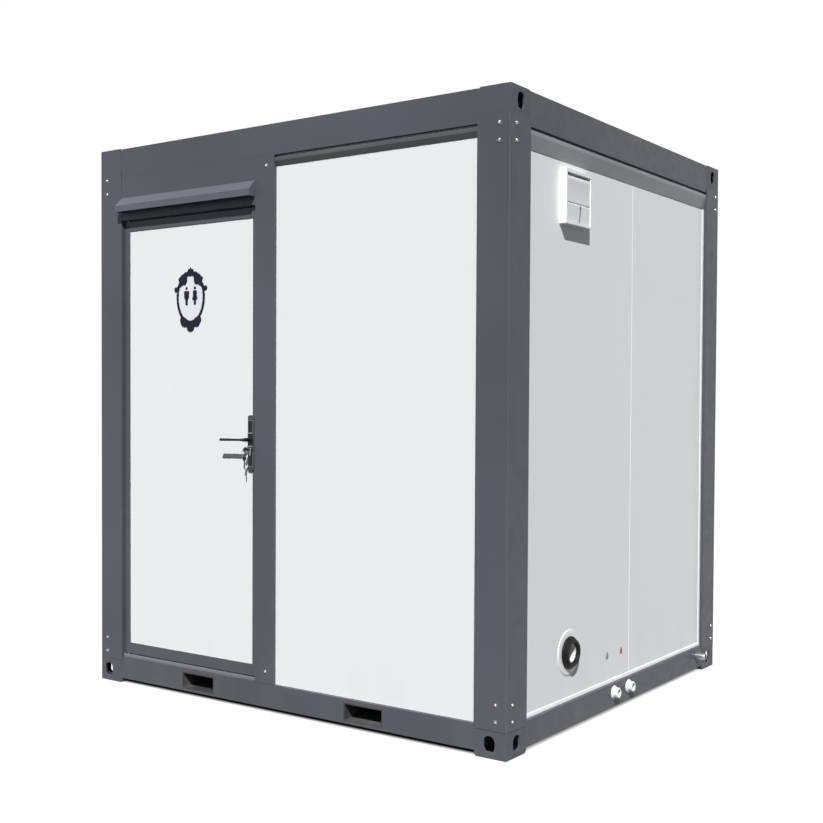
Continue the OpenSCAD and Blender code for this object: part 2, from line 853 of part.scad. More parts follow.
module door_frame() {
    x = [left(post_front_w) + touch, left(door_post_x) - touch];
    z = [base_top, door_top];
    side = leaf_x - leaf_gap;
    color([0.27, 0.28, 0.31]) difference() {
        span(x, [front(panel_recess), front(wall_inner)], z);
        span([left(side), left(door_post_x - liner_t)], [front(panel_recess) - 1, front(stop_y)],
             [base_top + sill_h, door_top - liner_t]);
        span([left(post_front_w + stop_w), left(lock_stop_x)],
             [front(stop_y) - 1, front(wall_inner) + 1],
             [leaf_z + stop_w - 9, door_top - stop_w]);
        for (p = [[latch_z, latch_h], [bolt_z, bolt_h]])
            span([left(door_post_x - liner_t) - 1, left(door_post_x) + 1],
                 front_span(bolt_t + 2), [p[0] - p[1] / 2 - 1, p[0] + p[1] / 2 + 1]);
        for (low = [0, 1]) pivot_rod(low, pivot_r);
    }
}

// The pivot axis through the sill or the head
module pivot_rod(low, r) {
    x = left(leaf_x + pivot_in);
    y = front(panel_recess + pivot_in);
    z = low == 1 ? base_top : leaf_top - pivot_l;
    l = low == 1 ? leaf_z + pivot_l - base_top : door_top - leaf_top + pivot_l;
    translate([x, y, z]) cylinder(r = r, h = l);
}

module door_pivots() {
    color([0.7, 0.71, 0.72]) for (low = [0, 1]) pivot_rod(low, pivot_r);
}

module leaf_lock_cuts() {
    y0 = front(panel_recess) - 1;
    rod_y([left(lock_x), y0, lever_z], spindle_r + 2, leaf_t + 2);
    translate([left(lock_x), y0, key_z]) euro_profile(leaf_t + 2, touch);
    span([left(case_x) - touch, left(leaf_edge - forend_t) + touch],
         front_span(case_t + 2 * touch), [case_z - touch, case_z + case_h + touch]);
    span([left(leaf_edge - forend_t) - touch, left(leaf_edge) + 1],
         front_span(forend_w + 2 * touch),
         [case_z - forend_over - touch, case_z + case_h + forend_over + touch]);
}

// The lock cylinder's outline, along Y
module euro_profile(l, grow) {
    web = 20;
    rod_y([0, 0, 0], 8.5 + grow, l);
    translate([-5 - grow, 0, -web]) cube([10 + 2 * grow, l, web]);
    rod_y([0, 0, -web], 5 + grow, l);
}

module leaf_window(tuck) {
    span_x = [left(leaf_x + stile_w - tuck), left(leaf_edge - lock_stile_w + tuck)];
    span_z = [leaf_z + bottom_rail_h - tuck, leaf_top - top_rail_h + tuck];
    y = tuck == 0 ? [front(panel_recess) - 1, front(leaf_back) + 1]
        : [front(panel_recess + infill_set), front(panel_recess + infill_set + infill_t)];
    span(span_x, y, span_z);
}

module door_leaf_frame() {
    wall = 4;
    y = [front(panel_recess + wall), front(leaf_back - wall)];
    color([0.27, 0.28, 0.31]) difference() {
        span([left(leaf_x), left(leaf_edge)], [front(panel_recess), front(leaf_back)],
             [leaf_z, leaf_top]);
        leaf_window(0);
        leaf_window(infill_tuck);
        for (low = [0, 1]) pivot_rod(low, pivot_r + running);
        leaf_lock_cuts();
        translate([left(leaf_x), front(leaf_back), leaf_z - 1]) rotate([0, 0, 45])
            translate([-leaf_t, -hinge_relief / sqrt(2), 0])
                cube([2 * leaf_t, leaf_t, leaf_top - leaf_z + 2]);
        span([left(leaf_x + wall), left(leaf_x + stile_w - infill_tuck - wall)], y,
             [leaf_z + 2 * pivot_l, leaf_top - 2 * pivot_l]);
        span([left(leaf_edge - lock_stile_w + infill_tuck + wall), left(leaf_edge - wall)], y,
             [leaf_z + 2 * pivot_l, case_z - 3 * forend_over]);
        span([left(leaf_edge - lock_stile_w + infill_tuck + wall), left(leaf_edge - wall)], y,
             [case_z + case_h + 3 * forend_over, leaf_top - 2 * pivot_l]);
    }
}

module door_panel() {
    tuck = infill_tuck - touch;
    y = [front(panel_recess + infill_set + touch), front(panel_recess + infill_set + infill_t - touch)];
    color([0.93, 0.94, 0.94]) difference() {
        sandwich([left(leaf_x + stile_w - tuck), left(leaf_edge - lock_stile_w + tuck)], y,
                 [leaf_z + bottom_rail_h - tuck, leaf_top - top_rail_h + tuck]);
        leaf_lock_cuts();
    }
}

// The seal lies on the stop, clear of the hinge side's swing
module door_seal() {
    x = [left(leaf_x + pivot_in + 1), left(leaf_edge - 0.5)];
    z = [leaf_z + 7, door_top - stop_w + 13];
    y = [front(leaf_back + 2 * touch), front(stop_y)];
    w = 5;
    color([0.1, 0.1, 0.11]) difference() {
        span(x, y, z);
        span([x[0] + w, x[1] - w], [y[0] - 1, y[1] + 1], [z[0] + w, z[1] - w]);
    }
}

module lock_case() {
    color([0.7, 0.71, 0.72]) difference() {
        union() {
            span([left(case_x), left(leaf_edge - forend_t)], front_span(case_t),
                 [case_z, case_z + case_h]);
            span([left(leaf_edge - forend_t), left(leaf_edge)], front_span(forend_w),
                 [case_z - forend_over, case_z + case_h + forend_over]);
        }
        rod_y([left(lock_x), front(0), lever_z], spindle_r + running, leaf_back);
        translate([left(lock_x), front(0), key_z]) euro_profile(leaf_back, touch);
        slide_block(latch_z, latch_h + 2 * running, bolt_t + 2 * running, 40, 60);
        slide_block(bolt_z, bolt_h + 2 * running, bolt_t + 2 * running, 40, 60);
    }
}

// A sliding bolt's block, from its inner end to its tip past the leaf's edge
module slide_block(z, h, t, l, out) {
    x1 = leaf_edge + out;
    span([left(max(x1 - l - out, case_x + 2)), left(x1)], front_span(t), [z - h / 2, z + h / 2]);
}

module latch_bolt() {
    x1 = left(leaf_edge + latch_throw);
    y = front_span(bolt_t);
    z = [latch_z - latch_h / 2, latch_z + latch_h / 2];
    x0 = left(case_x + 3 + latch_throw);
    bevel = bolt_t - 2;
    color([0.8, 0.8, 0.82]) translate([0, 0, z[0]]) linear_extrude(latch_h)
        polygon([[x0, y[0]], [x1, y[0]], [x1, y[1] - bevel], [x1 - bevel, y[1]], [x0, y[1]]]);
}

module dead_bolt() {
    color([0.8, 0.8, 0.82]) span([left(case_x + 3), left(leaf_edge)],
                                 front_span(bolt_t), [bolt_z - bolt_h / 2, bolt_z + bolt_h / 2]);
}

module lock_plates() {
    r = plate_w / 2 - 6;
    color([0.13, 0.13, 0.14]) for (s = [-1, 1]) {
        y = s < 0 ? front(panel_recess - touch) : front(leaf_back + touch);
        difference() {
            translate([left(lock_x), y, lever_z - plate_drop]) rotate([s < 0 ? 90 : -90, 0, 0]) {
                rounded_block(plate_w, plate_l, plate_t * 0.6, r);
                rounded_block(plate_w - 2 * plate_margin, plate_l - 7 * plate_margin, plate_t, r - 6);
                rounded_block(plate_w - 2 * plate_margin, block_l, plate_t + block_t, 2);
            }
            rod_y([left(lock_x), y - 20, lever_z], lever_neck_r + 0.4, 40);
            translate([left(lock_x), y - 20, key_z]) euro_profile(40, touch);
        }
    }
}

// Both levers on one spindle, pointing away from the door post
module door_levers() {
    arm_t = 14;
    color([0.12, 0.12, 0.13]) {
        rod_y([left(lock_x), front(panel_recess - plate_t - 4), lever_z], spindle_r,
              leaf_t + 2 * plate_t + 8);
        for (s = [-1, 1]) {
            y = s < 0 ? front(panel_recess - plate_t + 2) : front(leaf_back + plate_t - 2);
            reach = lever_reach + 2;
            rod_y([left(lock_x), s < 0 ? y - reach : y, lever_z], lever_neck_r, reach);
            far = s < 0 ? y - reach : y + reach - arm_t;
            span([left(lock_x - lever_l + arm_t / 2), left(lock_x)], [far, far + arm_t],
                 [lever_z - lever_arm_h / 2, lever_z + lever_arm_h / 2]);
            translate([left(lock_x - lever_l + arm_t / 2), far + arm_t / 2,
                       lever_z - lever_arm_h / 2]) cylinder(r = arm_t / 2, h = lever_arm_h);
        }
    }
}

module lock_cylinder() {
    y = front(key_face);
    color([0.75, 0.74, 0.7]) difference() {
        translate([left(lock_x), y, key_z]) euro_profile(leaf_t + 2 * plate_t + 6, 0);
        rod_y([left(lock_x), y - 1, key_z], plug_r + running, leaf_t + 2 * plate_t + 8);
    }
}

// The plug with the key's bow outside and the thumb turn inside
module key() {
    l = leaf_t + 2 * plate_t + 6;
    color([0.72, 0.71, 0.68]) {
        rod_y([left(lock_x), front(key_face), key_z], plug_r, l + 3);
        difference() {
            union() {
                rod_x([left(lock_x) - key_t / 2, front(bow_y), key_z], bow_r, key_t);
                span([left(lock_x) - key_t / 2, left(lock_x) + key_t / 2],
                     [front(bow_y), front(key_face) + 1], [key_z - 4, key_z + 4]);
            }
            rod_x([left(lock_x) - 3, front(ring_y), key_z], ring_wire + touch, 6);
        }
        translate([left(lock_x), front(key_face + l + 3), key_z]) rotate([-90, 0, 0])
            rounded_block(8, 32, 12, 3.5);
    }
}

// The ring through the key's bow, and the second key that hangs from it
module spare_key() {
    low = key_z - 2 * ring_r;
    color([0.72, 0.71, 0.68]) {
        translate([left(lock_x), front(ring_y), key_z - ring_r]) rotate([90, 0, 0])
            rotate_extrude($fn = 48) translate([ring_r, 0]) circle(ring_wire, $fn = 16);
        difference() {
            union() {
                rod_x([left(lock_x) - key_t / 2, front(ring_y), low - bow_r * 0.5], bow_r, key_t);
                span([left(lock_x) - key_t / 2, left(lock_x) + key_t / 2],
                     [front(ring_y) - 3.5, front(ring_y) + 3.5], [low - bow_r - blade_l, low - bow_r]);
            }
            rod_x([left(lock_x) - 3, front(ring_y), low], ring_wire + touch, 6);
        }
    }
}

module strike_plate() {
    x1 = left(door_post_x - liner_t) - touch / 3;
    color([0.75, 0.76, 0.77]) difference() {
        span([x1 - strike_t, x1], front_span(forend_w),
             [case_z - 10, case_z + case_h + 10]);
        for (p = [[latch_z, latch_h], [bolt_z, bolt_h]])
            span([x1 - strike_t - 1, x1 + 1], front_span(bolt_t + 2),
                 [p[0] - p[1] / 2 - 1, p[0] + p[1] / 2 + 1]);
    }
}

// The housing stands on the wall, with a duct through the wall and a seat for the motor
module vent_housing() {
    x = [service_wall, service_wall + vent_out];
    ring = 4;
    color([0.9, 0.91, 0.91]) difference() {
        union() {
            difference() {
                span(x, vent_y, [vent_low, vent_high]);
                span([x[0] + 4, x[1] + 1], [vent_y[0] + vent_wall, vent_y[1] - vent_wall],
                     [vent_low + vent_wall, vent_high - vent_top_wall]);
                rod_x([x[0] - 1, front(service_y), vent_z], duct_r, 6);
            }
            difference() {
                rod_x([inner_wall_x, front(service_y), vent_z], duct_r + duct_wall, panel_t);
                rod_x([inner_wall_x - 1, front(service_y), vent_z], duct_r, panel_t + 2);
            }
            intersection() {
                rod_x([motor_x + 8, front(service_y), vent_z], duct_r + 1, 10);
                translate([motor_x + 8, front(service_y), vent_z]) for (k = [0:2])
                    rotate([120 * k, 0, 0]) translate([1, -3, 0]) cube([8, 6, duct_r + 5]);
            }
            rod_x([motor_x + 8, front(service_y), vent_z], motor_r + ring, 10);
        }
        rod_x([motor_x, front(service_y), vent_z], motor_r + touch / 3, motor_l);
        for (top = [flap_top, lower_flap_top])
            rod_y([flap_x, vent_y[0] + 2, top - 3], 2 + running, vent_size - 4);
    }
}

// A flap hangs from the barrel along its upper edge, with a pin at each end
module flap(top, h) {
    y = [front(service_y) - flap_w / 2, front(service_y) + flap_w / 2];
    color([0.87, 0.88, 0.88]) {
        span([flap_x - flap_t / 2, flap_x + flap_t / 2], y, [top - h, top - 3]);
        rod_y([flap_x, y[0], top - 3], 3, flap_w);
        rod_y([flap_x, y[0] - 5, top - 3], 2, flap_w + 10);
    }
}

module vent_upper_flap() {
    flap(flap_top, upper_flap_h);
    lip = 16;
    color([0.87, 0.88, 0.88])
        span([flap_x, flap_x + 3], [front(service_y) - flap_w / 2, front(service_y) + flap_w / 2],
             [flap_top - lip, flap_top - 3]);
}

module vent_lower_flap() {
    tab = 60;
    flap(lower_flap_top, lower_flap_h);
    color([0.87, 0.88, 0.88]) {
        span([flap_x, flap_x + 3.5], [front(service_y) + 12, front(service_y) + 17],
             [lower_flap_top - 8 - tab, lower_flap_top - 8]);
        rod_x([flap_x, front(service_y) + 14.5, lower_flap_top - 10], 4, 5);
    }
}

module fan_motor() {
    color([0.2, 0.2, 0.22]) {
        rod_x([motor_x, front(service_y), vent_z], motor_r, motor_l);
        rod_x([rotor_x - rotor_l + 2, front(service_y), vent_z], 3, rotor_l);
    }
}

module fan_rotor() {
    hub = 15;
    tip = duct_r - 4;
    chord = 22;
    color([0.85, 0.86, 0.87]) difference() {
        translate([rotor_x - rotor_l, front(service_y), vent_z]) {
            rotate([0, 90, 0]) cylinder(r = hub, h = rotor_l);
            for (k = [0:blade_count - 1]) rotate([360 * k / blade_count, 0, 0])
                translate([rotor_l / 2, 0, hub - 2]) rotate([0, 0, 32])
                    translate([-1, -chord / 2, 0]) cube([2, chord, tip - hub + 2]);
        }
        rod_x([rotor_x - rotor_l + 2, front(service_y), vent_z], 3 + running, rotor_l);
    }
}

module vent_grille() {
    x = inner_wall_x - touch;
    t = 10;
    slots = 9;
    pitch = (vent_size - 36) / slots;
    color([0.93, 0.94, 0.94]) difference() {
        span([x - t, x], vent_y, [vent_low, vent_high]);
        for (k = [0:slots - 1])
            translate([x - t / 2, front(service_y), vent_low + 18 + (k + 0.5) * pitch])
                rotate([0, 35, 0]) cube([3 * t, vent_size - 40, pitch * 0.45], center = true);
    }
}

module outlet_flange() {
    color([0.95, 0.95, 0.95]) difference() {
        rod_x([service_wall, front(service_y), outlet_z], outlet_ring_r, 3);
        rod_x([service_wall - 1, front(service_y), outlet_z], outlet_neck_r + touch, 5);
    }
}

module outlet_coupling() {
    color([0.12, 0.12, 0.13]) difference() {
        union() {
            rod_x([service_wall - outlet_depth, front(service_y), outlet_z], outlet_neck_r,
                  outlet_depth + outlet_out);
            rod_x([service_wall + 3, front(service_y), outlet_z], outlet_flange_r, 9);
        }
        rod_x([service_wall - outlet_depth - 1, front(service_y), outlet_z], outlet_bore_r,
              outlet_depth + outlet_out + 2);
    }
}

module water_inlets() {
    back = -left(beam_inner);
    face = -left(beam_inset);
    color([0.93, 0.93, 0.93]) for (k = [0, 1]) {
        y = front(inlet_y + k * inlet_pitch);
        difference() {
            union() {
                rod_x([back, y, inlet_z], inlet_nozzle_r, face - back + inlet_out);
                rod_x([face, y, inlet_z], inlet_flange_r, 5);
            }
            rod_x([back - 1, y, inlet_z], inlet_bore_r, face - back + inlet_out + 2);
        }
    }
}

module drain_stub() {
    back = -left(beam_inner);
    l = beam_depth + stub_out;
    color([0.72, 0.72, 0.73]) difference() {
        union() {
            rod_x([back, front(stub_y), stub_z], stub_r - 1, beam_depth);
            rod_x([back + beam_depth, front(stub_y), stub_z], stub_r, stub_out);
        }
        rod_x([back - 1, front(stub_y), stub_z], stub_r - 3, l + 2);
    }
}

// Outline of the pan, round at the nose and square at the wall
module pan_outline(inset, back_inset) {
    nose = pan_back - pan_l + pan_nose_r;
    translate([nose, pan_y]) circle(pan_nose_r - inset);
    translate([nose, pan_y - pan_nose_r + inset])
        square([pan_back - back_inset - nose, 2 * (pan_nose_r - inset)]);
}

// Half section of a bowl: an elliptic cup
module cup(r, depth) {
    polygon(concat([[0, 1], [r, 1]], [for (k = [0:8]) [r * cos(90 * k / 8), -depth * sin(90 * k / 8)]]));
}

module long_cup(x, y, z, r, depth, shift) {
    translate([x, y, z]) {
        rotate_extrude() cup(r, depth);
        translate([shift, 0, 0]) rotate_extrude() cup(r, depth);
        rotate([90, 0, 90]) linear_extrude(shift) {
            cup(r, depth);
            mirror([1, 0, 0]) cup(r, depth);
        }
    }
}

module hinge_rod(r, y0, l) {
    rod_y([hinge_x, pan_y + y0, hinge_z], r, l);
}

// The pan's outer form, drawn in by a wall's thickness
module pan_body(wall) {
    foot = [pan_l - foot_short, pan_w - foot_narrow];
    rim = 70;
    translate([0, 0, rim_z - rim]) linear_extrude(rim - wall) pan_outline(wall, wall);
    hull() {
        translate([0, 0, rim_z - rim - 1]) linear_extrude(1.5) pan_outline(6 + wall, wall, $fn = 32);
        translate([pan_back - foot[0] / 2, pan_y, pan_z - wall])
            linear_extrude(1) rounded_square(foot[0] - 2 * wall, foot[1] - 2 * wall, 60 - wall, $fn = 32);
    }
}

// The pan carries the bar on which the seat and the lid turn
module toilet_pan() {
    wall = 9;
    depth = rim_z - outlet_z + 25;
    socket = service_wall - outlet_depth - touch;
    post_y = [-112, 100];
    color([0.95, 0.95, 0.94]) difference() {
        union() {
            difference() {
                pan_body(0);
                pan_body(wall);
            }
            long_cup(bowl_x, pan_y, rim_z - 1, bowl_r + wall, depth + wall - 1, bowl_shift);
            rod_x([bowl_x, pan_y, outlet_z], drain_r + wall, pan_back - bowl_x);
            rod_x([socket - wall, pan_y, outlet_z], outlet_neck_r + wall, pan_back - socket + wall);
            for (y = post_y) span([hinge_x - 9, hinge_x + 9], [pan_y + y, pan_y + y + 12],
                                  [rim_z - 5, hinge_z + 8]);
            hinge_rod(hinge_r, post_y[0] + 1, post_y[1] - post_y[0] + 10);
        }
        long_cup(bowl_x, pan_y, rim_z, bowl_r, depth, bowl_shift);
        rod_x([bowl_x, pan_y, outlet_z], drain_r, pan_l);
        rod_x([socket, pan_y, outlet_z], outlet_neck_r + touch, pan_l);
    }
}

module rounded_square(w, d, r) {
    square([w - 2 * r, d], center = true);
    square([w, d - 2 * r], center = true);
    for (x = [-1, 1], y = [-1, 1]) translate([x * (w / 2 - r), y * (d / 2 - r)]) circle(r);
}

// The seat's and the lid's outline, cut off ahead of the hinge
module seat_outline(r) {
    nose = pan_back - pan_l + pan_nose_r;
    translate([nose, pan_y]) circle(r);
    translate([nose, pan_y - r]) square([hinge_x - seat_back - nose, 2 * r]);
}

// Two barrels on the hinge bar, each with an arm to a plate between two heights
module barrels(places, l, z) {
    for (y = places) {
        hinge_rod(9, y, l);
        span([hinge_x - seat_back - 1, hinge_x], [pan_y + y, pan_y + y + l], z);
    }
}

module toilet_seat() {
    z = [seat_z, seat_z + seat_t];
    places = [-92, 62];
    color([0.93, 0.93, 0.92]) difference() {
        union() {
            translate([0, 0, z[0]]) linear_extrude(seat_t) difference() {
                seat_outline(seat_r);
                translate([bowl_x, pan_y]) circle(bowl_r - 8);
                translate([bowl_x + bowl_shift, pan_y]) circle(bowl_r - 8);
                translate([bowl_x, pan_y - bowl_r + 8]) square([bowl_shift, 2 * bowl_r - 16]);
            }
            barrels(places, 30, [z[0] + 5, z[1]]);
            for (x = [bowl_x - 40, bowl_x + bowl_shift + 60], s = [-1, 1])
                translate([x, pan_y + s * (bowl_r + 22), rim_z + touch])
                    cylinder(r = 9, h = seat_z - rim_z);
        }
        for (y = places) hinge_rod(hinge_r + running, y - 1, 32);
    }
}

module toilet_lid() {
    z = [seat_z + seat_t + 1, seat_z + seat_t + 1 + lid_t];
    places = [-58, 28];
    color([0.93, 0.93, 0.92])
        translate([hinge_x, 0, hinge_z]) rotate([0, lid_lean, 0]) translate([-hinge_x, 0, -hinge_z])
            difference() {
                union() {
                    translate([0, 0, z[0]]) linear_extrude(lid_t) seat_outline(seat_r);
                    barrels(places, 30, z);
                    for (y = places) span([hinge_x - 9, hinge_x + 2],
                                          [pan_y + y, pan_y + y + 30], [hinge_z, z[1]]);
                }
                for (y = places) hinge_rod(hinge_r + running, y - 1, 32);
            }
}

module cistern() {
    wall = 9;
    x = pan_back - cistern_d / 2;
    color([0.95, 0.95, 0.94]) difference() {
        translate([x, pan_y, cistern_z]) rounded_block(cistern_d, cistern_w, cistern_h, 28);
        translate([x, pan_y, cistern_z + wall])
            rounded_block(cistern_d - 2 * wall, cistern_w - 2 * wall, cistern_h - 2 * wall, 19);
        translate([x, pan_y, cistern_z + cistern_h - wall - 1])
            cylinder(r = flush_r + running, h = wall + 2);
    }
}

module flush_button() {
    top = cistern_z + cistern_h;
    color([0.8, 0.81, 0.82]) translate([pan_back - cistern_d / 2, pan_y, top - 16])
        cylinder(r = flush_r, h = 16 + flush_travel);
}

module washbasin() {
    rim = 32;
    bowl_wall = 12;
    mid = basin_back - basin_d / 2;
    color([0.95, 0.95, 0.94]) difference() {
        union() {
            translate([mid, basin_mid, rim_basin - rim]) rounded_block(basin_d, basin_w, rim, 70);
            span([mid, basin_back], [basin_mid - basin_w / 2, basin_mid + basin_w / 2],
                 [rim_basin - rim, rim_basin]);
            translate([bowl_mid, basin_mid, rim_basin - 2])
                rotate_extrude() cup(basin_bowl_r + bowl_wall, basin_h - 2);
            span([basin_back - bracket_d, basin_back],
                 [basin_mid - bracket_w / 2, basin_mid + bracket_w / 2],
                 [rim_basin - basin_h + 20, rim_basin - rim]);
        }
        translate([bowl_mid, basin_mid, rim_basin])
            rotate_extrude() cup(basin_bowl_r, basin_h - bowl_wall - 4);
        translate([bowl_mid, basin_mid, rim_basin - basin_h - 1]) cylinder(r = 18, h = basin_h);
    }
}

// A bottle trap under the basin, with its pipe to the wall
module basin_trap() {
    low = rim_basin - basin_h;
    z = low - trap_drop;
    color([0.93, 0.93, 0.93]) {
        translate([bowl_mid, basin_mid, z]) cylinder(r = trap_pipe_r, h = trap_drop);
        translate([bowl_mid, basin_mid, low - touch]) mirror([0, 0, 1])
            cylinder(r = trap_nut_r, h = trap_nut_h);
        translate([bowl_mid, basin_mid, z - trap_h / 2]) cylinder(r = trap_r, h = trap_h);
        rod_x([bowl_mid, basin_mid, z + trap_r], trap_pipe_r, basin_back - bowl_mid);
        rod_x([basin_back - trap_rose_t, basin_mid, z + trap_r], trap_rose_r, trap_rose_t);
    }
}

module basin_tap() {
    color([0.8, 0.81, 0.82]) {
        translate([tap_x, basin_mid, tap_z]) {
            cylinder(r = tap_r, h = tap_h);
            cylinder(r = spigot_r, h = tap_h + head_h - 2);
            cylinder(r = tap_r + 6, h = 4);
        }
        translate([tap_x, basin_mid, tap_z + tap_h - 24]) rotate([0, -80, 0])
            cylinder(r = 11, h = spout_l);
    }
}

module tap_head() {
    z = tap_z + tap_h + touch;
    color([0.8, 0.81, 0.82]) {
        difference() {
            translate([tap_x, basin_mid, z]) cylinder(r = tap_r, h = head_h);
            translate([tap_x, basin_mid, z - 1]) cylinder(r = spigot_r + running, h = head_h);
        }
        for (s = [-1, 1]) span([tap_x - 7, tap_x + 7],
            [basin_mid + s * 9 - 3, basin_mid + s * 9 + 3], [z + head_h, tap_pin_z + 7]);
        rod_y([tap_x, basin_mid - 9, tap_pin_z], tap_pin_r, 18);
    }
}

module tap_lever() {
    w = 2 * (6 - touch);
    color([0.8, 0.81, 0.82]) difference() {
        union() {
            rod_y([tap_x, basin_mid - w / 2, tap_pin_z], 7, w);
            span([tap_x - 100, tap_x], [basin_mid - w / 2, basin_mid + w / 2],
                 [tap_pin_z, tap_pin_z + 7]);
            translate([tap_x - 100, basin_mid, tap_pin_z]) cylinder(r = 9, h = 7);
        }
        rod_y([tap_x, basin_mid - w, tap_pin_z], tap_pin_r + running, 2 * w);
    }
}

module ceiling_lamp() {
    r = 18;
    wall = 4;
    color([0.97, 0.97, 0.95]) translate([0, 0, roof_beam_z - ceiling_t])
        mirror([0, 0, 1]) rotate_extrude() difference() {
            polygon(concat([[0, 0], [lamp_r, 0]], arc(lamp_r - r, lamp_h - r, r, 0, 90), [[0, lamp_h]]));
            polygon(concat([[0, wall], [lamp_r - wall, wall]],
                arc(lamp_r - r, lamp_h - r, r - wall, 0, 90), [[0, lamp_h - wall]]));
        }
}

module wall_switch() {
    y = front_inner + 11;
    color([0.95, 0.95, 0.95]) difference() {
        translate([switch_x, y, floor_z + switch_z]) rotate([90, 0, 0])
            rounded_block(switch_size, switch_size, 11, 6);
        span([switch_x - rocker_w / 2 - 0.5, switch_x + rocker_w / 2 + 0.5],
             [front_inner + 2, y + 1],
             [floor_z + switch_z - rocker_h / 2 - 1.5, floor_z + switch_z + rocker_h / 2 + 1.5]);
        rod_x([switch_x - rocker_w / 2 - pin_w - 1, front_inner + 8, floor_z + switch_z],
              1.5 + running, rocker_w + 2 * pin_w + 2);
    }
}

module switch_rocker() {
    color([0.97, 0.97, 0.97]) translate([switch_x, front_inner + 8, floor_z + switch_z])
        rotate([-rocker_angle / 2, 0, 0]) {
            translate([-rocker_w / 2, -3, -rocker_h / 2]) cube([rocker_w, 7, rocker_h]);
            rod_x([-rocker_w / 2 - pin_w, 0, 0], 1.5, rocker_w + 2 * pin_w);
        }
}

module paper_holder() {
    gap = paper_l / 2 + touch;
    cheek = 4;
    z = floor_z + paper_z;
    color([0.8, 0.81, 0.82]) {
        span([paper_x - gap - cheek, paper_x + gap + cheek], [front_inner, front_inner + 4],
             [z - 30, z + 30]);
        for (x = [paper_x - gap - cheek, paper_x + gap])
            span([x, x + cheek], [front_inner + 4, roll_y + bar_r + 4], [z - 24, z + 24]);
        rod_x([paper_x - gap - 1, roll_y, z], bar_r, 2 * gap + 2);
    }
}

module paper_roll() {
    color([0.96, 0.95, 0.93]) difference() {
        rod_x([paper_x - paper_l / 2, roll_y, floor_z + paper_z], paper_r, paper_l);
        rod_x([paper_x - paper_l, roll_y, floor_z + paper_z], bar_r + running, 2 * paper_l);
    }
}

base_corner_castings();
roof_corner_castings();
corner_posts();
door_post();
base_cross_beams();
base_side_beams();
fork_pockets();
floor_joists();
floor_board();
floor_covering();
roof_beams();
roof_panel();
ceiling_panel();
frame_bolts();
drip_profiles();
front_wall_panel();
door_header_panel();
service_wall_panel();
side_wall_panels();
back_wall_panels();
rain_hood();
door_frame();
door_leaf_frame();
door_panel();
door_seal();
door_pivots();
lock_case();
lock_plates();
door_levers();
latch_bolt();
dead_bolt();
lock_cylinder();
key();
spare_key();
strike_plate();
vent_housing();
vent_upper_flap();
vent_lower_flap();
fan_motor();
fan_rotor();
vent_grille();
outlet_flange();
outlet_coupling();
water_inlets();
drain_stub();
toilet_pan();
toilet_seat();
toilet_lid();
cistern();
flush_button();
washbasin();
basin_trap();
basin_tap();
tap_head();
tap_lever();
ceiling_lamp();
wall_switch();
switch_rocker();
paper_holder();
paper_roll();
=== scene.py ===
import math

import bmesh
import bpy
from mathutils import Matrix, Vector
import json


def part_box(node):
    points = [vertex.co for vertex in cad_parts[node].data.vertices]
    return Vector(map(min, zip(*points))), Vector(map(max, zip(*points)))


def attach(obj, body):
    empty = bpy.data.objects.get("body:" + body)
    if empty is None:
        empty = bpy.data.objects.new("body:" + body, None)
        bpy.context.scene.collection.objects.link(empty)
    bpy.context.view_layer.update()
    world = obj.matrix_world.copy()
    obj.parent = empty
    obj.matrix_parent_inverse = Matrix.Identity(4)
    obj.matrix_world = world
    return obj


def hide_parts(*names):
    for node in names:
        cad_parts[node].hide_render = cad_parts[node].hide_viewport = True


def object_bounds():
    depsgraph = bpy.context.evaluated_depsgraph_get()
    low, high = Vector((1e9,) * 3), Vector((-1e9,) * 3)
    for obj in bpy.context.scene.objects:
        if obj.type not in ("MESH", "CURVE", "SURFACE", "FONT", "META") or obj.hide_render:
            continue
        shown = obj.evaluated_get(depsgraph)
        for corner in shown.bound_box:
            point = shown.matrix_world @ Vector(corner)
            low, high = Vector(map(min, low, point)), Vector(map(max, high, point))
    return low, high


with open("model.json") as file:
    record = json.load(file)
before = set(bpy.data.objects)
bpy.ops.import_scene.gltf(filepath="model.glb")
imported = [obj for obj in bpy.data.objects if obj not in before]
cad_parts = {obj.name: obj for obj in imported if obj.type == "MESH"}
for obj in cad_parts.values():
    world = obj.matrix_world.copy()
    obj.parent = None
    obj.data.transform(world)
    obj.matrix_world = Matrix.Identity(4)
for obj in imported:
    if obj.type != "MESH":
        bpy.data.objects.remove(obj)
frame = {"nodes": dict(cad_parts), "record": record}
cad_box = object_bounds()
nodes = frame["nodes"]

# Camera, fitted to the corners of the cabin in the photograph
CAMERA_AT = Vector((3.1798, -4.5375, 1.2610))
CAMERA_YAW = math.radians(35.4243)
CAMERA_PITCH = math.radians(-1.4589)
CAMERA_ROLL = math.radians(0.2914)
FOCAL_PX = 1202.52
CENTRE_PX = (409.44, 429.59)
IMAGE_PX = 823
SENSOR_MM = 36.0
CLIP_END = 200

# The sun: azimuth from the door side's normal towards +X, height above the horizon
SUN_AZIMUTH = math.radians(34)
SUN_HEIGHT = math.radians(46.5)
SUN_SPREAD = math.radians(0.8)
SUN_POWER = 4.6
# A soft lamp from behind, which the photograph's view hardly shows
FILL_HEIGHT = math.radians(24)
FILL_SPREAD = math.radians(30)
FILL_POWER = 1.7
# The sky's light on the object; seen directly, the sky is white
SKY_COLOUR = (0.88, 0.96, 1.10, 1)
SKY_LEVEL = 0.17
# The ground round the cabin glows white, and throws little light back on the object
GROUND_HALF = 60.0
GROUND_GLOW = 0.86
GROUND_BOUNCE = (0.06, 0.06, 0.06, 1)
WHITE = (1, 1, 1, 1)

# Faces of the frame from which small things are measured
LEFT_EDGE = -1.055
FRONT_EDGE = -0.960
BEAM_FACE = 1.0525


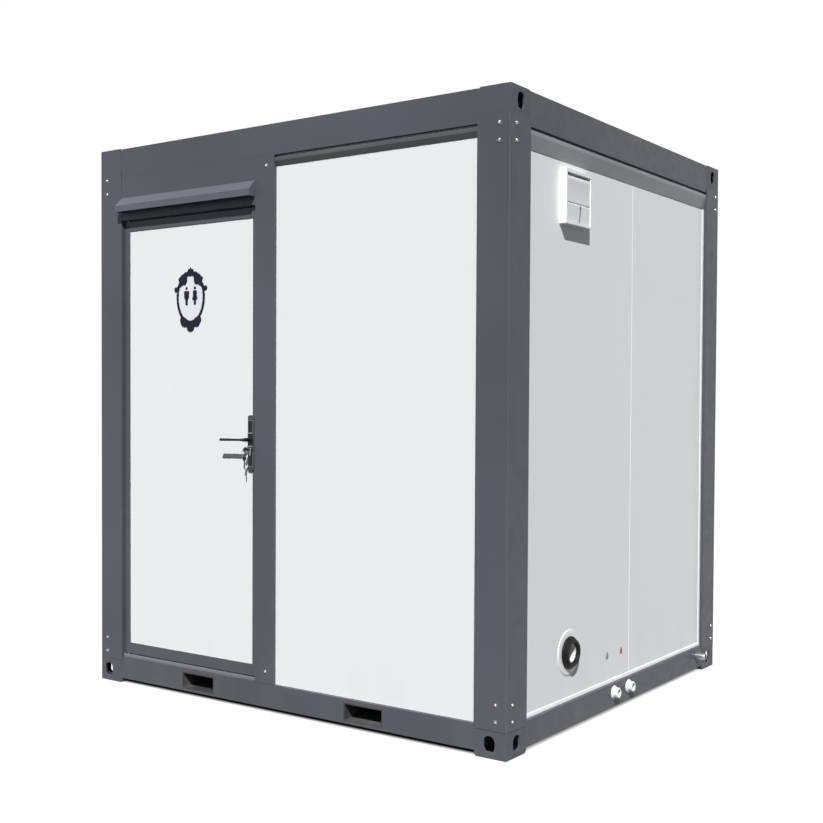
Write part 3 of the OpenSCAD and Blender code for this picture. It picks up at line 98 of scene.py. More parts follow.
def add_camera():
    """The photograph's camera, whose centre lies off the middle of the picture."""
    ahead = Vector((-math.sin(CAMERA_YAW) * math.cos(CAMERA_PITCH),
                    math.cos(CAMERA_YAW) * math.cos(CAMERA_PITCH), math.sin(CAMERA_PITCH)))
    side = ahead.cross(Vector((0, 0, 1))).normalized()
    up = side.cross(ahead)
    c, s = math.cos(CAMERA_ROLL), math.sin(CAMERA_ROLL)
    side, up = c * side + s * up, c * up - s * side
    data = bpy.data.cameras.new("camera")
    data.sensor_width = SENSOR_MM
    data.lens = SENSOR_MM * FOCAL_PX / IMAGE_PX
    data.shift_x = (IMAGE_PX / 2 - CENTRE_PX[0]) / IMAGE_PX
    data.shift_y = (CENTRE_PX[1] - IMAGE_PX / 2) / IMAGE_PX
    data.clip_end = CLIP_END
    camera = bpy.data.objects.new("camera", data)
    turn = Matrix((side, up, -ahead)).transposed().to_4x4()
    camera.matrix_world = Matrix.Translation(CAMERA_AT) @ turn
    bpy.context.collection.objects.link(camera)
    bpy.context.scene.camera = camera


# Shader nodes

def new_material(name):
    """A material with its node tree and its shader."""
    mat = bpy.data.materials.new(name)
    mat.use_nodes = True
    tree = mat.node_tree
    return mat, tree, tree.nodes["Principled BSDF"]


def scaled(factor, colour):
    """A colour made lighter or darker by a factor."""
    return tuple(factor * c for c in colour)


def noise(tree, scale, detail, stretch=(1, 1, 1)):
    """Noise in the object's own metres, drawn out along an axis where stretch is under 1."""
    place = tree.nodes.new("ShaderNodeTexCoord")
    mapping = tree.nodes.new("ShaderNodeMapping")
    mapping.inputs["Scale"].default_value = stretch
    tex = tree.nodes.new("ShaderNodeTexNoise")
    tex.inputs["Scale"].default_value = scale
    tex.inputs["Detail"].default_value = detail
    tree.links.new(place.outputs["Object"], mapping.inputs["Vector"])
    tree.links.new(mapping.outputs["Vector"], tex.inputs["Vector"])
    return tex.outputs["Fac"]


def coordinate(tree, axis):
    """The object's own X, Y or Z in metres."""
    place = tree.nodes.new("ShaderNodeTexCoord")
    part = tree.nodes.new("ShaderNodeSeparateXYZ")
    tree.links.new(place.outputs["Object"], part.inputs["Vector"])
    return part.outputs[axis]


def calculate(tree, operation, *values):
    """A math node on floats and on other nodes' outputs."""
    node = tree.nodes.new("ShaderNodeMath")
    node.operation = operation
    for socket, value in zip(node.inputs, values):
        if isinstance(value, float):
            socket.default_value = value
        else:
            tree.links.new(value, socket)
    return node.outputs[0]


def ramp(tree, fac, low, high, a, b):
    """A ramp from colour a at low to colour b at high."""
    node = tree.nodes.new("ShaderNodeValToRGB")
    node.color_ramp.elements[0].position = low
    node.color_ramp.elements[0].color = (*a, 1)
    node.color_ramp.elements[1].position = high
    node.color_ramp.elements[1].color = (*b, 1)
    tree.links.new(fac, node.inputs["Fac"])
    return node.outputs["Color"]


def mix(tree, fac, a, b):
    """From a to b by fac; each is a colour or another node's output."""
    node = tree.nodes.new("ShaderNodeMix")
    node.data_type = "RGBA"
    tree.links.new(fac, node.inputs["Factor"])
    for socket, value in ((node.inputs[6], a), (node.inputs[7], b)):
        if isinstance(value, tuple):
            socket.default_value = (*value, 1)
        else:
            tree.links.new(value, socket)
    return node.outputs[2]


def span_value(tree, fac, low, high, a, b):
    """From a at low to b at high, held at both ends."""
    node = tree.nodes.new("ShaderNodeMapRange")
    node.inputs["From Min"].default_value = low
    node.inputs["From Max"].default_value = high
    node.inputs["To Min"].default_value = a
    node.inputs["To Max"].default_value = b
    tree.links.new(fac, node.inputs["Value"])
    return node.outputs["Result"]


def near_ground(tree, low, high):
    """1 at low and 0 at high, in metres over the ground."""
    return span_value(tree, coordinate(tree, "Z"), low, high, 1.0, 0.0)


def uneven_roughness(tree, shader, pattern, rough, drift):
    """Roughness that wanders about a value with the pattern."""
    wander = span_value(tree, pattern, 0.3, 0.7, rough - drift, rough + drift + 0.02)
    tree.links.new(wander, shader.inputs["Roughness"])


def bump(tree, shader, height, strength, distance):
    """Relief on the shader from a height pattern; distance is in metres."""
    node = tree.nodes.new("ShaderNodeBump")
    node.inputs["Strength"].default_value = strength
    node.inputs["Distance"].default_value = distance
    tree.links.new(height, node.inputs["Height"])
    tree.links.new(node.outputs["Normal"], shader.inputs["Normal"])


# Materials

DUST = (0.30, 0.28, 0.25)
GRIME = (0.90, 0.89, 0.86)
# Distance from the cabin's middle, along X, beyond which a drip profile is on a side wall
DRIP_SIDE = 0.9800


def painted(name, colour, rough=0.42, peel=0.12, dust=0.25):
    """Painted steel: slight colour drift, orange peel, and dust that thickens near the ground."""
    mat, tree, shader = new_material(name)
    body = ramp(tree, noise(tree, 1.3, 4), 0.35, 0.65, scaled(0.90, colour), scaled(1.08, colour))
    dusty = tuple(0.6 * c + 0.4 * d for c, d in zip(colour, DUST))
    low = near_ground(tree, 0.0, 0.45)
    patch = span_value(tree, noise(tree, 7, 6, (1, 1, 0.35)), 0.45, 0.75, 0.0, dust)
    tree.links.new(mix(tree, calculate(tree, "MULTIPLY", low, patch), body, dusty),
                   shader.inputs["Base Color"])
    uneven_roughness(tree, shader, noise(tree, 22, 5), rough, 0.06)
    shader.inputs["Specular IOR Level"].default_value = 0.22
    bump(tree, shader, noise(tree, 420, 2), peel, 0.0004)
    return mat


def drip_with_painted_shade():
    """The drip profiles, one paint in two tones by side: painted shade makes them dark on the door
    side and the back, painted light makes them pale on the other two sides.
    """
    mat, tree, shader = new_material("drip_paint")
    from_middle = calculate(tree, "ABSOLUTE", coordinate(tree, "X"))
    side = span_value(tree, from_middle, DRIP_SIDE, DRIP_SIDE + 0.0015, 0.0, 1.0)
    drift = noise(tree, 2.0, 4, (1, 1, 3))
    # Painted light: the pale tone, for the drip lit on the side walls
    pale = ramp(tree, drift, 0.3, 0.7, (0.21, 0.22, 0.23), (0.30, 0.31, 0.325))
    # Painted shade: the dark tone, for the drip in the roof beam's shadow on the door side and the
    # back
    dark = ramp(tree, drift, 0.3, 0.7, (0.075, 0.080, 0.085), (0.105, 0.11, 0.117))
    tree.links.new(mix(tree, side, dark, pale), shader.inputs["Base Color"])
    shader.inputs["Roughness"].default_value = 0.35
    shader.inputs["Specular IOR Level"].default_value = 0.3
    bump(tree, shader, noise(tree, 420, 2), 0.1, 0.0004)
    return mat


def skin(name, colour, rough=0.34):
    """Coil-coated sheet: nearly even, with faint long waves, and streaks of grime at its foot."""
    mat, tree, shader = new_material(name)
    drift = ramp(tree, noise(tree, 0.8, 3), 0.3, 0.7, scaled(0.985, colour), colour)
    grime = tuple(c * g for c, g in zip(colour, GRIME))
    low = near_ground(tree, 0.10, 0.40)
    streak = span_value(tree, noise(tree, 9, 5, (1, 1, 0.12)), 0.50, 0.80, 0.0, 0.5)
    tree.links.new(mix(tree, calculate(tree, "MULTIPLY", low, streak), drift, grime),
                   shader.inputs["Base Color"])
    uneven_roughness(tree, shader, noise(tree, 3, 4), rough, 0.04)
    shader.inputs["Specular IOR Level"].default_value = 0.2
    bump(tree, shader, noise(tree, 2.2, 2), 0.10, 0.002)
    return mat


def metal(name, colour, rough=0.3, brushed=(1, 1, 1), grain=0.08):
    """Bare or plated metal, with a grain drawn out along an axis where brushed is under 1."""
    mat, tree, shader = new_material(name)
    tone = ramp(tree, noise(tree, 60, 4, brushed), 0.3, 0.7, scaled(0.88, colour), colour)
    tree.links.new(tone, shader.inputs["Base Color"])
    shader.inputs["Metallic"].default_value = 1.0
    uneven_roughness(tree, shader, noise(tree, 240, 4, brushed), rough, 0.06)
    bump(tree, shader, noise(tree, 500, 2, brushed), grain, 0.0002)
    return mat


def plastic(name, colour, rough=0.4, grain=0.1, scale=700, coat=0.0, gloss=0.35):
    """Moulded plastic, rubber or, with a coat, glazed ceramic."""
    mat, tree, shader = new_material(name)
    tone = ramp(tree, noise(tree, 5, 4), 0.3, 0.7, scaled(0.95, colour), colour)
    tree.links.new(tone, shader.inputs["Base Color"])
    uneven_roughness(tree, shader, noise(tree, 40, 4), rough, 0.05)
    shader.inputs["Specular IOR Level"].default_value = gloss
    shader.inputs["Coat Weight"].default_value = coat
    shader.inputs["Coat Roughness"].default_value = 0.08
    bump(tree, shader, noise(tree, scale, 2), grain, 0.0002)
    return mat


def speckled_vinyl(name, colour):
    """Floor covering with light and dark flecks."""
    mat, tree, shader = new_material(name)
    fleck = ramp(tree, noise(tree, 350, 1), 0.55, 0.62, colour, scaled(1.5, colour))
    dark = span_value(tree, noise(tree, 260, 1), 0.60, 0.66, 0.0, 1.0)
    tree.links.new(mix(tree, dark, fleck, scaled(0.45, colour)), shader.inputs["Base Color"])
    shader.inputs["Roughness"].default_value = 0.55
    bump(tree, shader, noise(tree, 900, 2), 0.2, 0.0003)
    return mat


def plywood(name, colour):
    """Wood with its grain along X."""
    mat, tree, shader = new_material(name)
    grain = noise(tree, 30, 6, (0.08, 1, 1))
    tree.links.new(ramp(tree, grain, 0.35, 0.65, scaled(0.7, colour), colour),
                   shader.inputs["Base Color"])
    shader.inputs["Roughness"].default_value = 0.6
    bump(tree, shader, grain, 0.2, 0.0005)
    return mat


def paper_tissue(name, colour):
    """Soft matt paper."""
    mat, tree, shader = new_material(name)
    tree.links.new(ramp(tree, noise(tree, 80, 5), 0.3, 0.7, scaled(0.93, colour), colour),
                   shader.inputs["Base Color"])
    shader.inputs["Roughness"].default_value = 0.95
    shader.inputs["Sheen Weight"].default_value = 0.3
    bump(tree, shader, noise(tree, 900, 3), 0.5, 0.0006)
    return mat


FRAME_PAINT = (0.088, 0.093, 0.112)
# By the material slot of the record
MATERIALS = {
    "frame_paint": painted("frame_paint", FRAME_PAINT),
    "casting_paint": painted("casting_paint", FRAME_PAINT, rough=0.5, peel=0.35),
    "drip_paint": drip_with_painted_shade(),
    "wall_skin": skin("wall_skin", (0.86, 0.88, 0.88)),
    "door_skin": skin("door_skin", (0.87, 0.89, 0.89), rough=0.3),
    "pocket_steel": painted("pocket_steel", (0.045, 0.045, 0.047), rough=0.7, dust=0.9),
    "joist_steel": painted("joist_steel", (0.04, 0.04, 0.045), rough=0.6),
    "roof_sheet": skin("roof_sheet", (0.62, 0.65, 0.67), rough=0.45),
    "floor_wood": plywood("floor_wood", (0.32, 0.22, 0.13)),
    "floor_vinyl": speckled_vinyl("floor_vinyl", (0.20, 0.22, 0.25)),
    "zinc_bolts": metal("zinc_bolts", (0.50, 0.50, 0.52), rough=0.28),
    "seal_rubber": plastic("seal_rubber", (0.012, 0.012, 0.013), rough=0.7, scale=900),
    "lock_steel": metal("lock_steel", (0.56, 0.56, 0.57), rough=0.35, brushed=(1, 1, 0.05)),
    "lock_black": painted("lock_black", (0.012, 0.012, 0.013), rough=0.4, dust=0.0),
    "key_metal": metal("key_metal", (0.27, 0.26, 0.25), rough=0.38),
    "vent_plastic": plastic("vent_plastic", (0.95, 0.96, 0.97), rough=0.4),
    "motor_black": plastic("motor_black", (0.02, 0.02, 0.022), rough=0.5),
    "fan_plastic": plastic("fan_plastic", (0.70, 0.72, 0.72), rough=0.45),
    "white_plastic": plastic("white_plastic", (0.86, 0.87, 0.87), rough=0.25, coat=0.2),
    "coupling_rubber": plastic("coupling_rubber", (0.009, 0.009, 0.010), rough=0.6, grain=0.25,
                               gloss=0.2),
    "pipe_steel": metal("pipe_steel", (0.42, 0.42, 0.43), rough=0.42),
    "glaze": plastic("glaze", (0.86, 0.86, 0.85), rough=0.12, grain=0.03, scale=60, coat=0.6),
    "chrome": metal("chrome", (0.80, 0.81, 0.83), rough=0.1, grain=0.02),
    "lamp_opal": plastic("lamp_opal", (0.90, 0.90, 0.87), rough=0.4),
    "paper": paper_tissue("paper", (0.86, 0.85, 0.82)),
}
# For pieces that look unlike the slot they belong to
LOOKS = {
    # Painted light: a lighter copy of the frame paint for the rain hood, brighter as if the sun
    # fell on its sloped top
    "hood_painted_highlight": painted("hood_painted_highlight", (0.118, 0.122, 0.152)),
    "pipe_cream": plastic("pipe_cream", (0.80, 0.78, 0.72), rough=0.45),
    "lock_grey": painted("lock_grey", (0.060, 0.062, 0.070), rough=0.38, dust=0.0),
    "sign_navy": plastic("sign_navy", (0.010, 0.010, 0.026), rough=0.5, gloss=0.15),
    "sign_white": plastic("sign_white", (0.84, 0.84, 0.90), rough=0.3, coat=0.2),
    "threshold_metal": painted("threshold_metal", (0.20, 0.205, 0.225), rough=0.35, dust=0.4),
    "trim_white": skin("trim_white", (0.90, 0.91, 0.92), rough=0.3),
    "strap_grey": plastic("strap_grey", (0.15, 0.15, 0.16), rough=0.6),
    "key_head": plastic("key_head", (0.03, 0.03, 0.033), rough=0.45),
    "mark_grey": plastic("mark_grey", (0.22, 0.23, 0.25), rough=0.35),
    "mark_red": plastic("mark_red", (0.55, 0.05, 0.06), rough=0.35),
}


# Meshes

def soften(obj, width, segments, angle):
    """Rounds the edges that are sharper than the given angle in degrees."""
    edges = obj.modifiers.new("edges", "BEVEL")
    edges.width = width
    edges.segments = segments
    edges.limit_method = "ANGLE"
    edges.angle_limit = math.radians(angle)
    return edges


def piece(name, bm, body, slot, look=None, angle=35, bevel=0.0, replaced=()):
    """A finished mesh on a body, smooth up to the given angle."""
    bmesh.ops.recalc_face_normals(bm, faces=bm.faces)
    mesh = bpy.data.meshes.new(name)
    bm.to_mesh(mesh)
    bm.free()
    mesh.materials.append(LOOKS[look] if look else MATERIALS[slot])
    mesh.shade_smooth()
    mesh.set_sharp_from_angle(angle=math.radians(angle))
    obj = bpy.data.objects.new(name, mesh)
    bpy.context.collection.objects.link(obj)
    if bevel:
        soften(obj, bevel, 3, 35).harden_normals = True
    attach(obj, body)
    if replaced:
        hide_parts(*replaced)


def turns(steps):
    """The angles of a full turn."""
    return [math.tau * k / steps for k in range(steps)]


def middle(low, high):
    """The middle of a box."""
    return [(a + b) / 2 for a, b in zip(low, high)]


def bridge(bm, a, b):
    """Faces between two closed rings, of which one may be a single point."""
    count = max(len(a), len(b))
    for k in range(count):
        corners = (a[k % len(a)], a[(k + 1) % len(a)], b[(k + 1) % len(b)], b[k % len(b)])
        ring = list(dict.fromkeys(corners))
        if len(ring) > 2:
            bm.faces.new(ring)


def lathe(bm, profile, origin, axis, steps=48, closed=False):
    """Turns a profile of (radius, distance) about an axis through origin."""
    axis = Vector(axis).normalized()
    side = axis.orthogonal().normalized()
    other = axis.cross(side)
    rings = []
    for r, t in profile:
        centre = Vector(origin) + axis * t
        if r == 0:
            rings.append([bm.verts.new(centre)])
        else:
            rings.append([bm.verts.new(centre + r * (math.cos(a) * side + math.sin(a) * other))
                          for a in turns(steps)])
    pairs = list(zip(rings, rings[1:]))
    if closed:
        pairs.append((rings[-1], rings[0]))
    for a, b in pairs:
        bridge(bm, a, b)


def loft(bm, rings):
    """Closed body through rings of equal count, capped at both ends."""
    made = [[bm.verts.new(p) for p in ring] for ring in rings]
    for a, b in zip(made, made[1:]):
        bridge(bm, a, b)
    bm.faces.new(made[0])
    bm.faces.new(list(reversed(made[-1])))


def prism(bm, outline, place, depth):
    """A flat outline of (a, b) pairs, set in space by place(a, b, c), c from 0 to depth."""
    loft(bm, [[place(a, b, c) for a, b in outline] for c in (0.0, depth)])


def band(bm, outer, inner, place, depth):
    """A flat ring between two outlines of equal count."""
    loops = [[bm.verts.new(place(a, b, c)) for a, b in line]
             for line, c in ((outer, 0.0), (outer, depth), (inner, depth), (inner, 0.0))]
    for a, b in zip(loops, loops[1:] + loops[:1]):
        bridge(bm, a, b)


def round_corners(outline, radius, steps=4):
    """Cuts each corner of a closed outline with a short arc."""
    soft = []
    count = len(outline)
    for k in range(count):
        before, corner, after = (Vector(outline[(k + d) % count]) for d in (-1, 0, 1))
        into, out = (before - corner), (after - corner)
        cut = min(radius, 0.45 * into.length, 0.45 * out.length)
        p, q = corner + into.normalized() * cut, corner + out.normalized() * cut
        for s in range(steps + 1):
            t = s / steps
            soft.append(tuple((1 - t) ** 2 * p + 2 * t * (1 - t) * corner + t * t * q))
    return soft


def rounded_rect(w, h, r, steps=6):
    """A rectangle about the origin with arcs of radius r at its corners."""
    points = []
    for cx, cy, start in ((1, 1, 0), (-1, 1, 90), (-1, -1, 180), (1, -1, 270)):
        for k in range(steps + 1):
            a = math.radians(start + 90 * k / steps)
            points.append((cx * (w / 2 - r) + r * math.cos(a),
                           cy * (h / 2 - r) + r * math.sin(a)))
    return points


def ellipse(a, b):
    """An ellipse about the origin with half-axes a and b."""
    return [(a * math.cos(q), b * math.sin(q)) for q in turns(72)]


def circle(r, a=0.0, b=0.0, steps=40):
    """A circle about (a, b)."""
    return [(a + r * math.cos(q), b + r * math.sin(q)) for q in turns(steps)]


def both_halves(half, shift=0.0):
    """A whole outline in metres, from its right half in millimetres."""
    full = half + [(-a, b) for a, b in reversed(half) if a]
    return [((a + shift) / 1000, b / 1000) for a, b in full]


def islands(obj):
    """The lowest and highest corner of each separate solid in a node."""
    mesh = obj.data
    keys, parent = {}, []

    def root(k):
        while parent[k] != k:
            parent[k] = parent[parent[k]]
            k = parent[k]
        return k

    number = []
    for vertex in mesh.vertices:
        key = tuple(round(c, 5) for c in vertex.co)
        if key not in keys:
            keys[key] = len(parent)
            parent.append(len(parent))
        number.append(keys[key])
    for face in mesh.polygons:
        first = root(number[face.vertices[0]])
        for v in face.vertices[1:]:
            parent[root(number[v])] = first
    groups = {}
    for key, k in keys.items():
        groups.setdefault(root(k), []).append(key)
    return [(tuple(min(p[i] for p in g) for i in range(3)),
             tuple(max(p[i] for p in g) for i in range(3)))
            for _, g in sorted(groups.items())]


# Frame

# Radius, and distance from the outer end, from the flange's back to the foot of the socket
BOLT_HEAD = [(0, -0.0075), (0.0070, -0.0075), (0.0070, -0.0060), (0.0068, -0.0055),
             (0.0058, -0.0053), (0.0057, -0.0036), (0.0052, -0.0018), (0.0042, -0.0006),
             (0.0031, 0.0), (0.0024, -0.0003), (0.0022, -0.0025), (0, -0.0025)]


def frame_bolts():
    """Button heads with a socket, each on its own flange."""
    bm = bmesh.new()
    for low, high in islands(nodes["frame_bolts"]):
        along = 0 if high[0] - low[0] < high[1] - low[1] else 1
        end = middle(low, high)
        out = 1 if end[along] > 0 else -1
        end[along] = high[along] if out > 0 else low[along]
        axis = [0, 0, 0]
        axis[along] = out
        lathe(bm, BOLT_HEAD, end, axis, 24)
    piece("frame_bolt_heads", bm, "cabin", "zinc_bolts", replaced=("frame_bolts",), angle=50)


# Lock

# From the lock plates' outermost faces in CAD to the door's face
PLATE_DEPTH = 0.0085
# The plate's round ends together, which bear no field
PLATE_ENDS = 0.034
HUB_HEIGHT = 0.052
# From the door's face to the middle of the handle, and the bend on the way
LEVER_REACH = 0.0515
LEVER_BEND = 0.017
LEVER_HALF = 0.0078
# The lever's section: at 1 it would be an ellipse, at 0 a rectangle
LEVER_ROUND = 0.75
LEVER_CAP = 0.0031


def door_face(x, base, z, out):
    """Places outlines on a face of the door: a to the right, b up, c out of the face."""
    return lambda a, b, c: Vector((x + a, base + out * c, z + b))


def plate_layers(place, w, h, layers):
    """Rounded rectangles from the face outwards, for layers of (inset, radius, distance)."""
    return [[place(a, b, c) for a, b in rounded_rect(w - 2 * inset, h - 2 * inset, r)]
            for inset, r, c in layers]


def lock_plate(grey, field, highlight_rims, place, w, h):
    """The plate's grey base, and its black field with a bright steel rim, a painted highlight on
    the field's edge.
    """
    r = w / 2 - 0.006
    loft(grey, plate_layers(place, w, h, ((0.0, r, 0.0), (0.0, r, 0.0026),
                                          (0.0004, r - 0.0004, 0.0034),
                                          (0.0014, r - 0.0014, 0.0038))))
    h -= PLATE_ENDS
    loft(field, plate_layers(place, w, h, ((0.0045, 0.0035, 0.0030), (0.0050, 0.0030, 0.0052))))
    band(highlight_rims, rounded_rect(w - 0.0066, h - 0.0066, 0.0045),
         rounded_rect(w - 0.0082, h - 0.0082, 0.0038),
         lambda a, b, c: place(a, b, 0.0030 + c), 0.0028)


def lever_hub(hub, highlight_rims, place, out, w):
    """The lever's field on the plate, its two bright steel strips, painted highlights on the
    field's upper and lower edges, and the disc it turns in.
    """
    loft(hub, plate_layers(place, w - 0.008, HUB_HEIGHT, ((0.0, 0.002, 0.0048),
                                                          (0.0, 0.002, 0.0074),
                                                          (0.0012, 0.002, 0.0085))))
    strip = rounded_rect(w - 0.0085, 0.0024, 0.0008, 2)
    for side in (-1, 1):
        loft(highlight_rims, [[place(a, b + side * 0.0266, c) for a, b in strip]
                    for c in (0.0045, 0.0079)])
    lathe(hub, [(0, 0.0075), (0.0125, 0.0075), (0.0125, 0.0105), (0.0115, 0.0118), (0, 0.0118)],
          place(0, 0, 0), (0, out, 0), 40)


def lever_rings(place, length):
    """Rings along a lever: out of the plate, round the bend, along the handle, over its end."""
    quarter = math.radians(90)
    stations = [(0.0, 0.009, 0.0), (0.0, 0.020, 0.0)]
    stations += [(LEVER_BEND * (1 - math.cos(a)),
                  LEVER_REACH - LEVER_BEND + LEVER_BEND * math.sin(a), a)
                 for a in (math.radians(15 * k) for k in range(7))]
    stations += [(LEVER_BEND + (length - LEVER_BEND) * k / 8, LEVER_REACH, quarter)
                 for k in range(1, 9)]
    section = [tuple(math.copysign(abs(v) ** LEVER_ROUND, v) for v in (math.cos(q), math.sin(q)))
               for q in turns(24)]
    rings = []
    for n, (along, off, turn) in enumerate(stations):
        bent = turn / quarter
        outer_half = max(0, 2 * n / (len(stations) - 1) - 1)
        thick = LEVER_HALF - 0.0014 * bent
        tall = LEVER_HALF - 0.0034 * bent + 0.0014 * outer_half
        drop = 0.0012 * outer_half
        rings.append([place(-along - thick * p * math.cos(turn), tall * q - drop,
                            off - thick * p * math.sin(turn)) for p, q in section])
    tip = [p + Vector((LEVER_CAP, 0, 0)) for p in rings.pop()]
    rings.append(tip)
    centre = sum(tip, Vector()) / len(tip)
    for grow, ahead in ((0.9, 0.0012), (0.66, 0.0024), (0.3, LEVER_CAP)):
        rings.append([centre + (p - centre) * grow - Vector((ahead, 0, 0)) for p in tip])
    return rings


def door_lock():
    """The lock plates and the levers on both faces of the door."""
    low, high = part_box("lock_plates")
    lever_low, lever_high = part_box("door_levers")
    x, _, z = middle(low, high)
    lever_z = middle(lever_low, lever_high)[2]
    w, h = high[0] - low[0], high[2] - low[2]
    grey, field, highlight_rims, hub, arms = (bmesh.new() for _ in range(5))
    for out, base in ((-1, low[1] + PLATE_DEPTH), (1, high[1] - PLATE_DEPTH)):
        lock_plate(grey, field, highlight_rims, door_face(x, base, z, out), w, h)
        at_lever = door_face(x, base, lever_z, out)
        lever_hub(hub, highlight_rims, at_lever, out, w)
        loft(arms, lever_rings(at_lever, x - lever_low[0] - 0.001))
    piece("lock_plate_bases", grey, "door", "lock_black", look="lock_grey",
          replaced=("lock_plates",))
    piece("lock_plate_fields", field, "door", "lock_black", angle=20)
    # Painted highlight: bright steel rims and strips where the plate's edges catch the light
    piece("lock_plate_rims", highlight_rims, "door", "lock_steel", angle=20)
    piece("lock_plate_hubs", hub, "door", "lock_black", angle=25)
    piece("lever_handles", arms, "levers", "lock_black", angle=50, replaced=("door_levers",))


# Keys

BOW_R = 0.011
BOW_HOLE_R = 0.0024
BOW_THICK = 0.0036
BLADE_THICK = 0.0024
BIT_THICK = 0.002
KNOB_DEPTH = 0.0118
RING_R = 0.014
RING_WIRE_R = 0.0011


def key_plane(x, y, z, thick):
    """Places outlines in a key's plane: a along Y, b up, c through the thickness."""
    return lambda a, b, c: Vector((x - thick / 2 + c, y + a, z + b))


def key_in_lock(x, bow_y, z):
    """The key: its dark bow, its blade and barrel, and the knob on the inner side."""
    low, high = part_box("key")
    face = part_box("lock_cylinder")[0][1]
    head, stem = bmesh.new(), bmesh.new()
    band(head, circle(BOW_R), circle(BOW_HOLE_R, -BOW_R / 2),
         key_plane(x, bow_y, z, BOW_THICK), BOW_THICK)
    end = face - bow_y + 0.001
    blade = [(0.009, -0.004), (end, -0.004), (end, 0.004), (0.009, 0.004)]
    prism(stem, blade, key_plane(x, bow_y, z, BLADE_THICK), BLADE_THICK)
    r = (high[0] - low[0]) / 2
    back = high[1] - KNOB_DEPTH
    lathe(stem, [(0, 0), (r - 0.0005, 0), (r, 0.0005), (r, back - face), (0, back - face)],
          (x, face, z), (0, 1, 0), 32)
    knob = rounded_rect(0.008, 0.032, 0.0035)
    loft(stem, [[Vector((x + g * a, back + c, z + g * b)) for a, b in knob]
                for g, c in ((0.8, 0.0), (1.0, 0.002), (1.0, 0.0102), (0.86, KNOB_DEPTH))])
    piece("key_bow", head, "key", "key_metal", look="key_head", bevel=0.0008)
    piece("key_stem", stem, "key", "key_metal", bevel=0.0003, replaced=("key",))


def spare_key(x, y, z):
    """The spare key on its ring, which hangs down from the height z."""
    ring, spare = bmesh.new(), bmesh.new()
    lathe(ring, circle(RING_WIRE_R, RING_R, 0.0, 12), (x, y, z - RING_R), (0, 1, 0), 56,
          closed=True)
    bow_z = z - 2 * RING_R - BOW_R / 2
    band(spare, circle(BOW_R), circle(BOW_HOLE_R, 0.0, BOW_R / 2),
         key_plane(x, y, bow_z, BLADE_THICK), BLADE_THICK)
    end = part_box("spare_key")[0][2] - bow_z
    start = -BOW_R * 0.93
    bit = [(0.0035, start), (0.0035, end + 0.002), (0.0015, end), (-0.0012, end)]
    run = start - 0.006 - end
    for k, depth in enumerate((0.0012, 0.0026, 0.0010, 0.0022, 0.0016)):
        level = end + 0.003 + run * k / 5
        bit += [(-0.0033, level), (-0.0035 + depth, level + 0.0025),
                (-0.0035 + depth, level + 0.004)]
    bit += [(-0.0035, start - 0.003), (-0.0035, start)]
    prism(spare, bit, key_plane(x, y, bow_z, BIT_THICK), BIT_THICK)
    piece("key_ring", ring, "spare", "key_metal", angle=60)
    piece("spare_key_blade", spare, "spare", "key_metal", bevel=0.0003, replaced=("spare_key",))


def keys():
    """The key in the lock, and the spare key on the ring in its bow."""
    low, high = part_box("key")
    x, _, z = middle(low, high)
    bow_y = low[1] + BOW_R
    key_in_lock(x, bow_y, z)
    spare_key(x, bow_y - BOW_R / 2, z)


# Sign on the door

SIGN_X = LEFT_EDGE + 0.5445
SIGN_Z = 1.683
# Right halves in millimetres from the sign's middle, from the axis round and back to it
SIGN_CREST = [(0, 127), (3.5, 119), (10, 120), (16, 116), (15.5, 111), (20, 107.5), (29, 108.5),
              (38, 103.5), (42, 98.5), (49, 99), (56.5, 93), (58.5, 87.5), (66, 86.5), (71.5, 79),
              (69.5, 72), (66.5, 68), (68.5, 62), (75, 52), (79, 42), (70, 38), (62, 46),
              (48.3, 52.6), (41.1, 57.2), (32.5, 53.6), (24, 61), (21, 69.2), (20.5, 81),
              (19.6, 89.4), (10, 92), (0, 90)]
SIGN_FOOT = [(0, -98), (18, -94), (34, -83), (48, -77), (60, -86), (61, -98), (54, -111),
             (45, -120), (33, -122), (24, -119), (20, -127), (19, -135), (10, -139), (5, -142),
             (0, -140)]
# Right halves of the figures, each from its own axis
MAN = [(14.5, 28), (14.0, 8), (11.8, -5), (7.2, -8), (6.2, -31)]
WOMAN = [(8.0, 29), (11.0, 25), (10.4, 8), (15.4, -10), (6.4, -10), (5.8, -31)]


def door_sign():
    """An oval sign with a scrolled border and the two usual figures."""
    place = door_face(SIGN_X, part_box("door_panel")[0][1], SIGN_Z, -1)
    border, plate, figures = bmesh.new(), bmesh.new(), bmesh.new()
    prism(plate, ellipse(0.077, 0.1045), place, 0.0012)
    band(border, ellipse(0.0825, 0.110), ellipse(0.0715, 0.099), place, 0.0040)
    for half in (SIGN_CREST, SIGN_FOOT):
        prism(border, round_corners(both_halves(half), 0.0028), place, 0.0046)
    button = [(0, 0), (0.0100, 0), (0.0098, 0.003), (0.008, 0.005), (0.0045, 0.0062), (0, 0.0066)]
    for side in (-1, 1):
        lathe(border, button, place(side * 0.0868, 0.037, 0), (0, -1, 0), 28)
    head = [(0, 0), (0.0062, 0), (0.0062, 0.0026), (0.0056, 0.0030), (0, 0.0030)]
    for shift, half in ((-23.9, MAN), (25.0, WOMAN)):
        prism(figures, round_corners(both_halves(half, shift), 0.0015), place, 0.0030)
        lathe(figures, head, place(shift / 1000, 0.0392, 0), (0, -1, 0), 28)
    piece("door_sign_plate", plate, "door", "white_plastic", look="sign_white", bevel=0.0003)
    piece("door_sign_border", border, "door", "lock_black", look="sign_navy", bevel=0.0007)
    piece("door_sign_figures", figures, "door", "lock_black", look="sign_navy", bevel=0.0003)


# Vent

# Radius of a flap's rolled upper edge, about the axis it swings on
ROLL_R = 0.003
STRAP_Y = FRONT_EDGE + 0.4995
STRAP_THICK = 0.0012


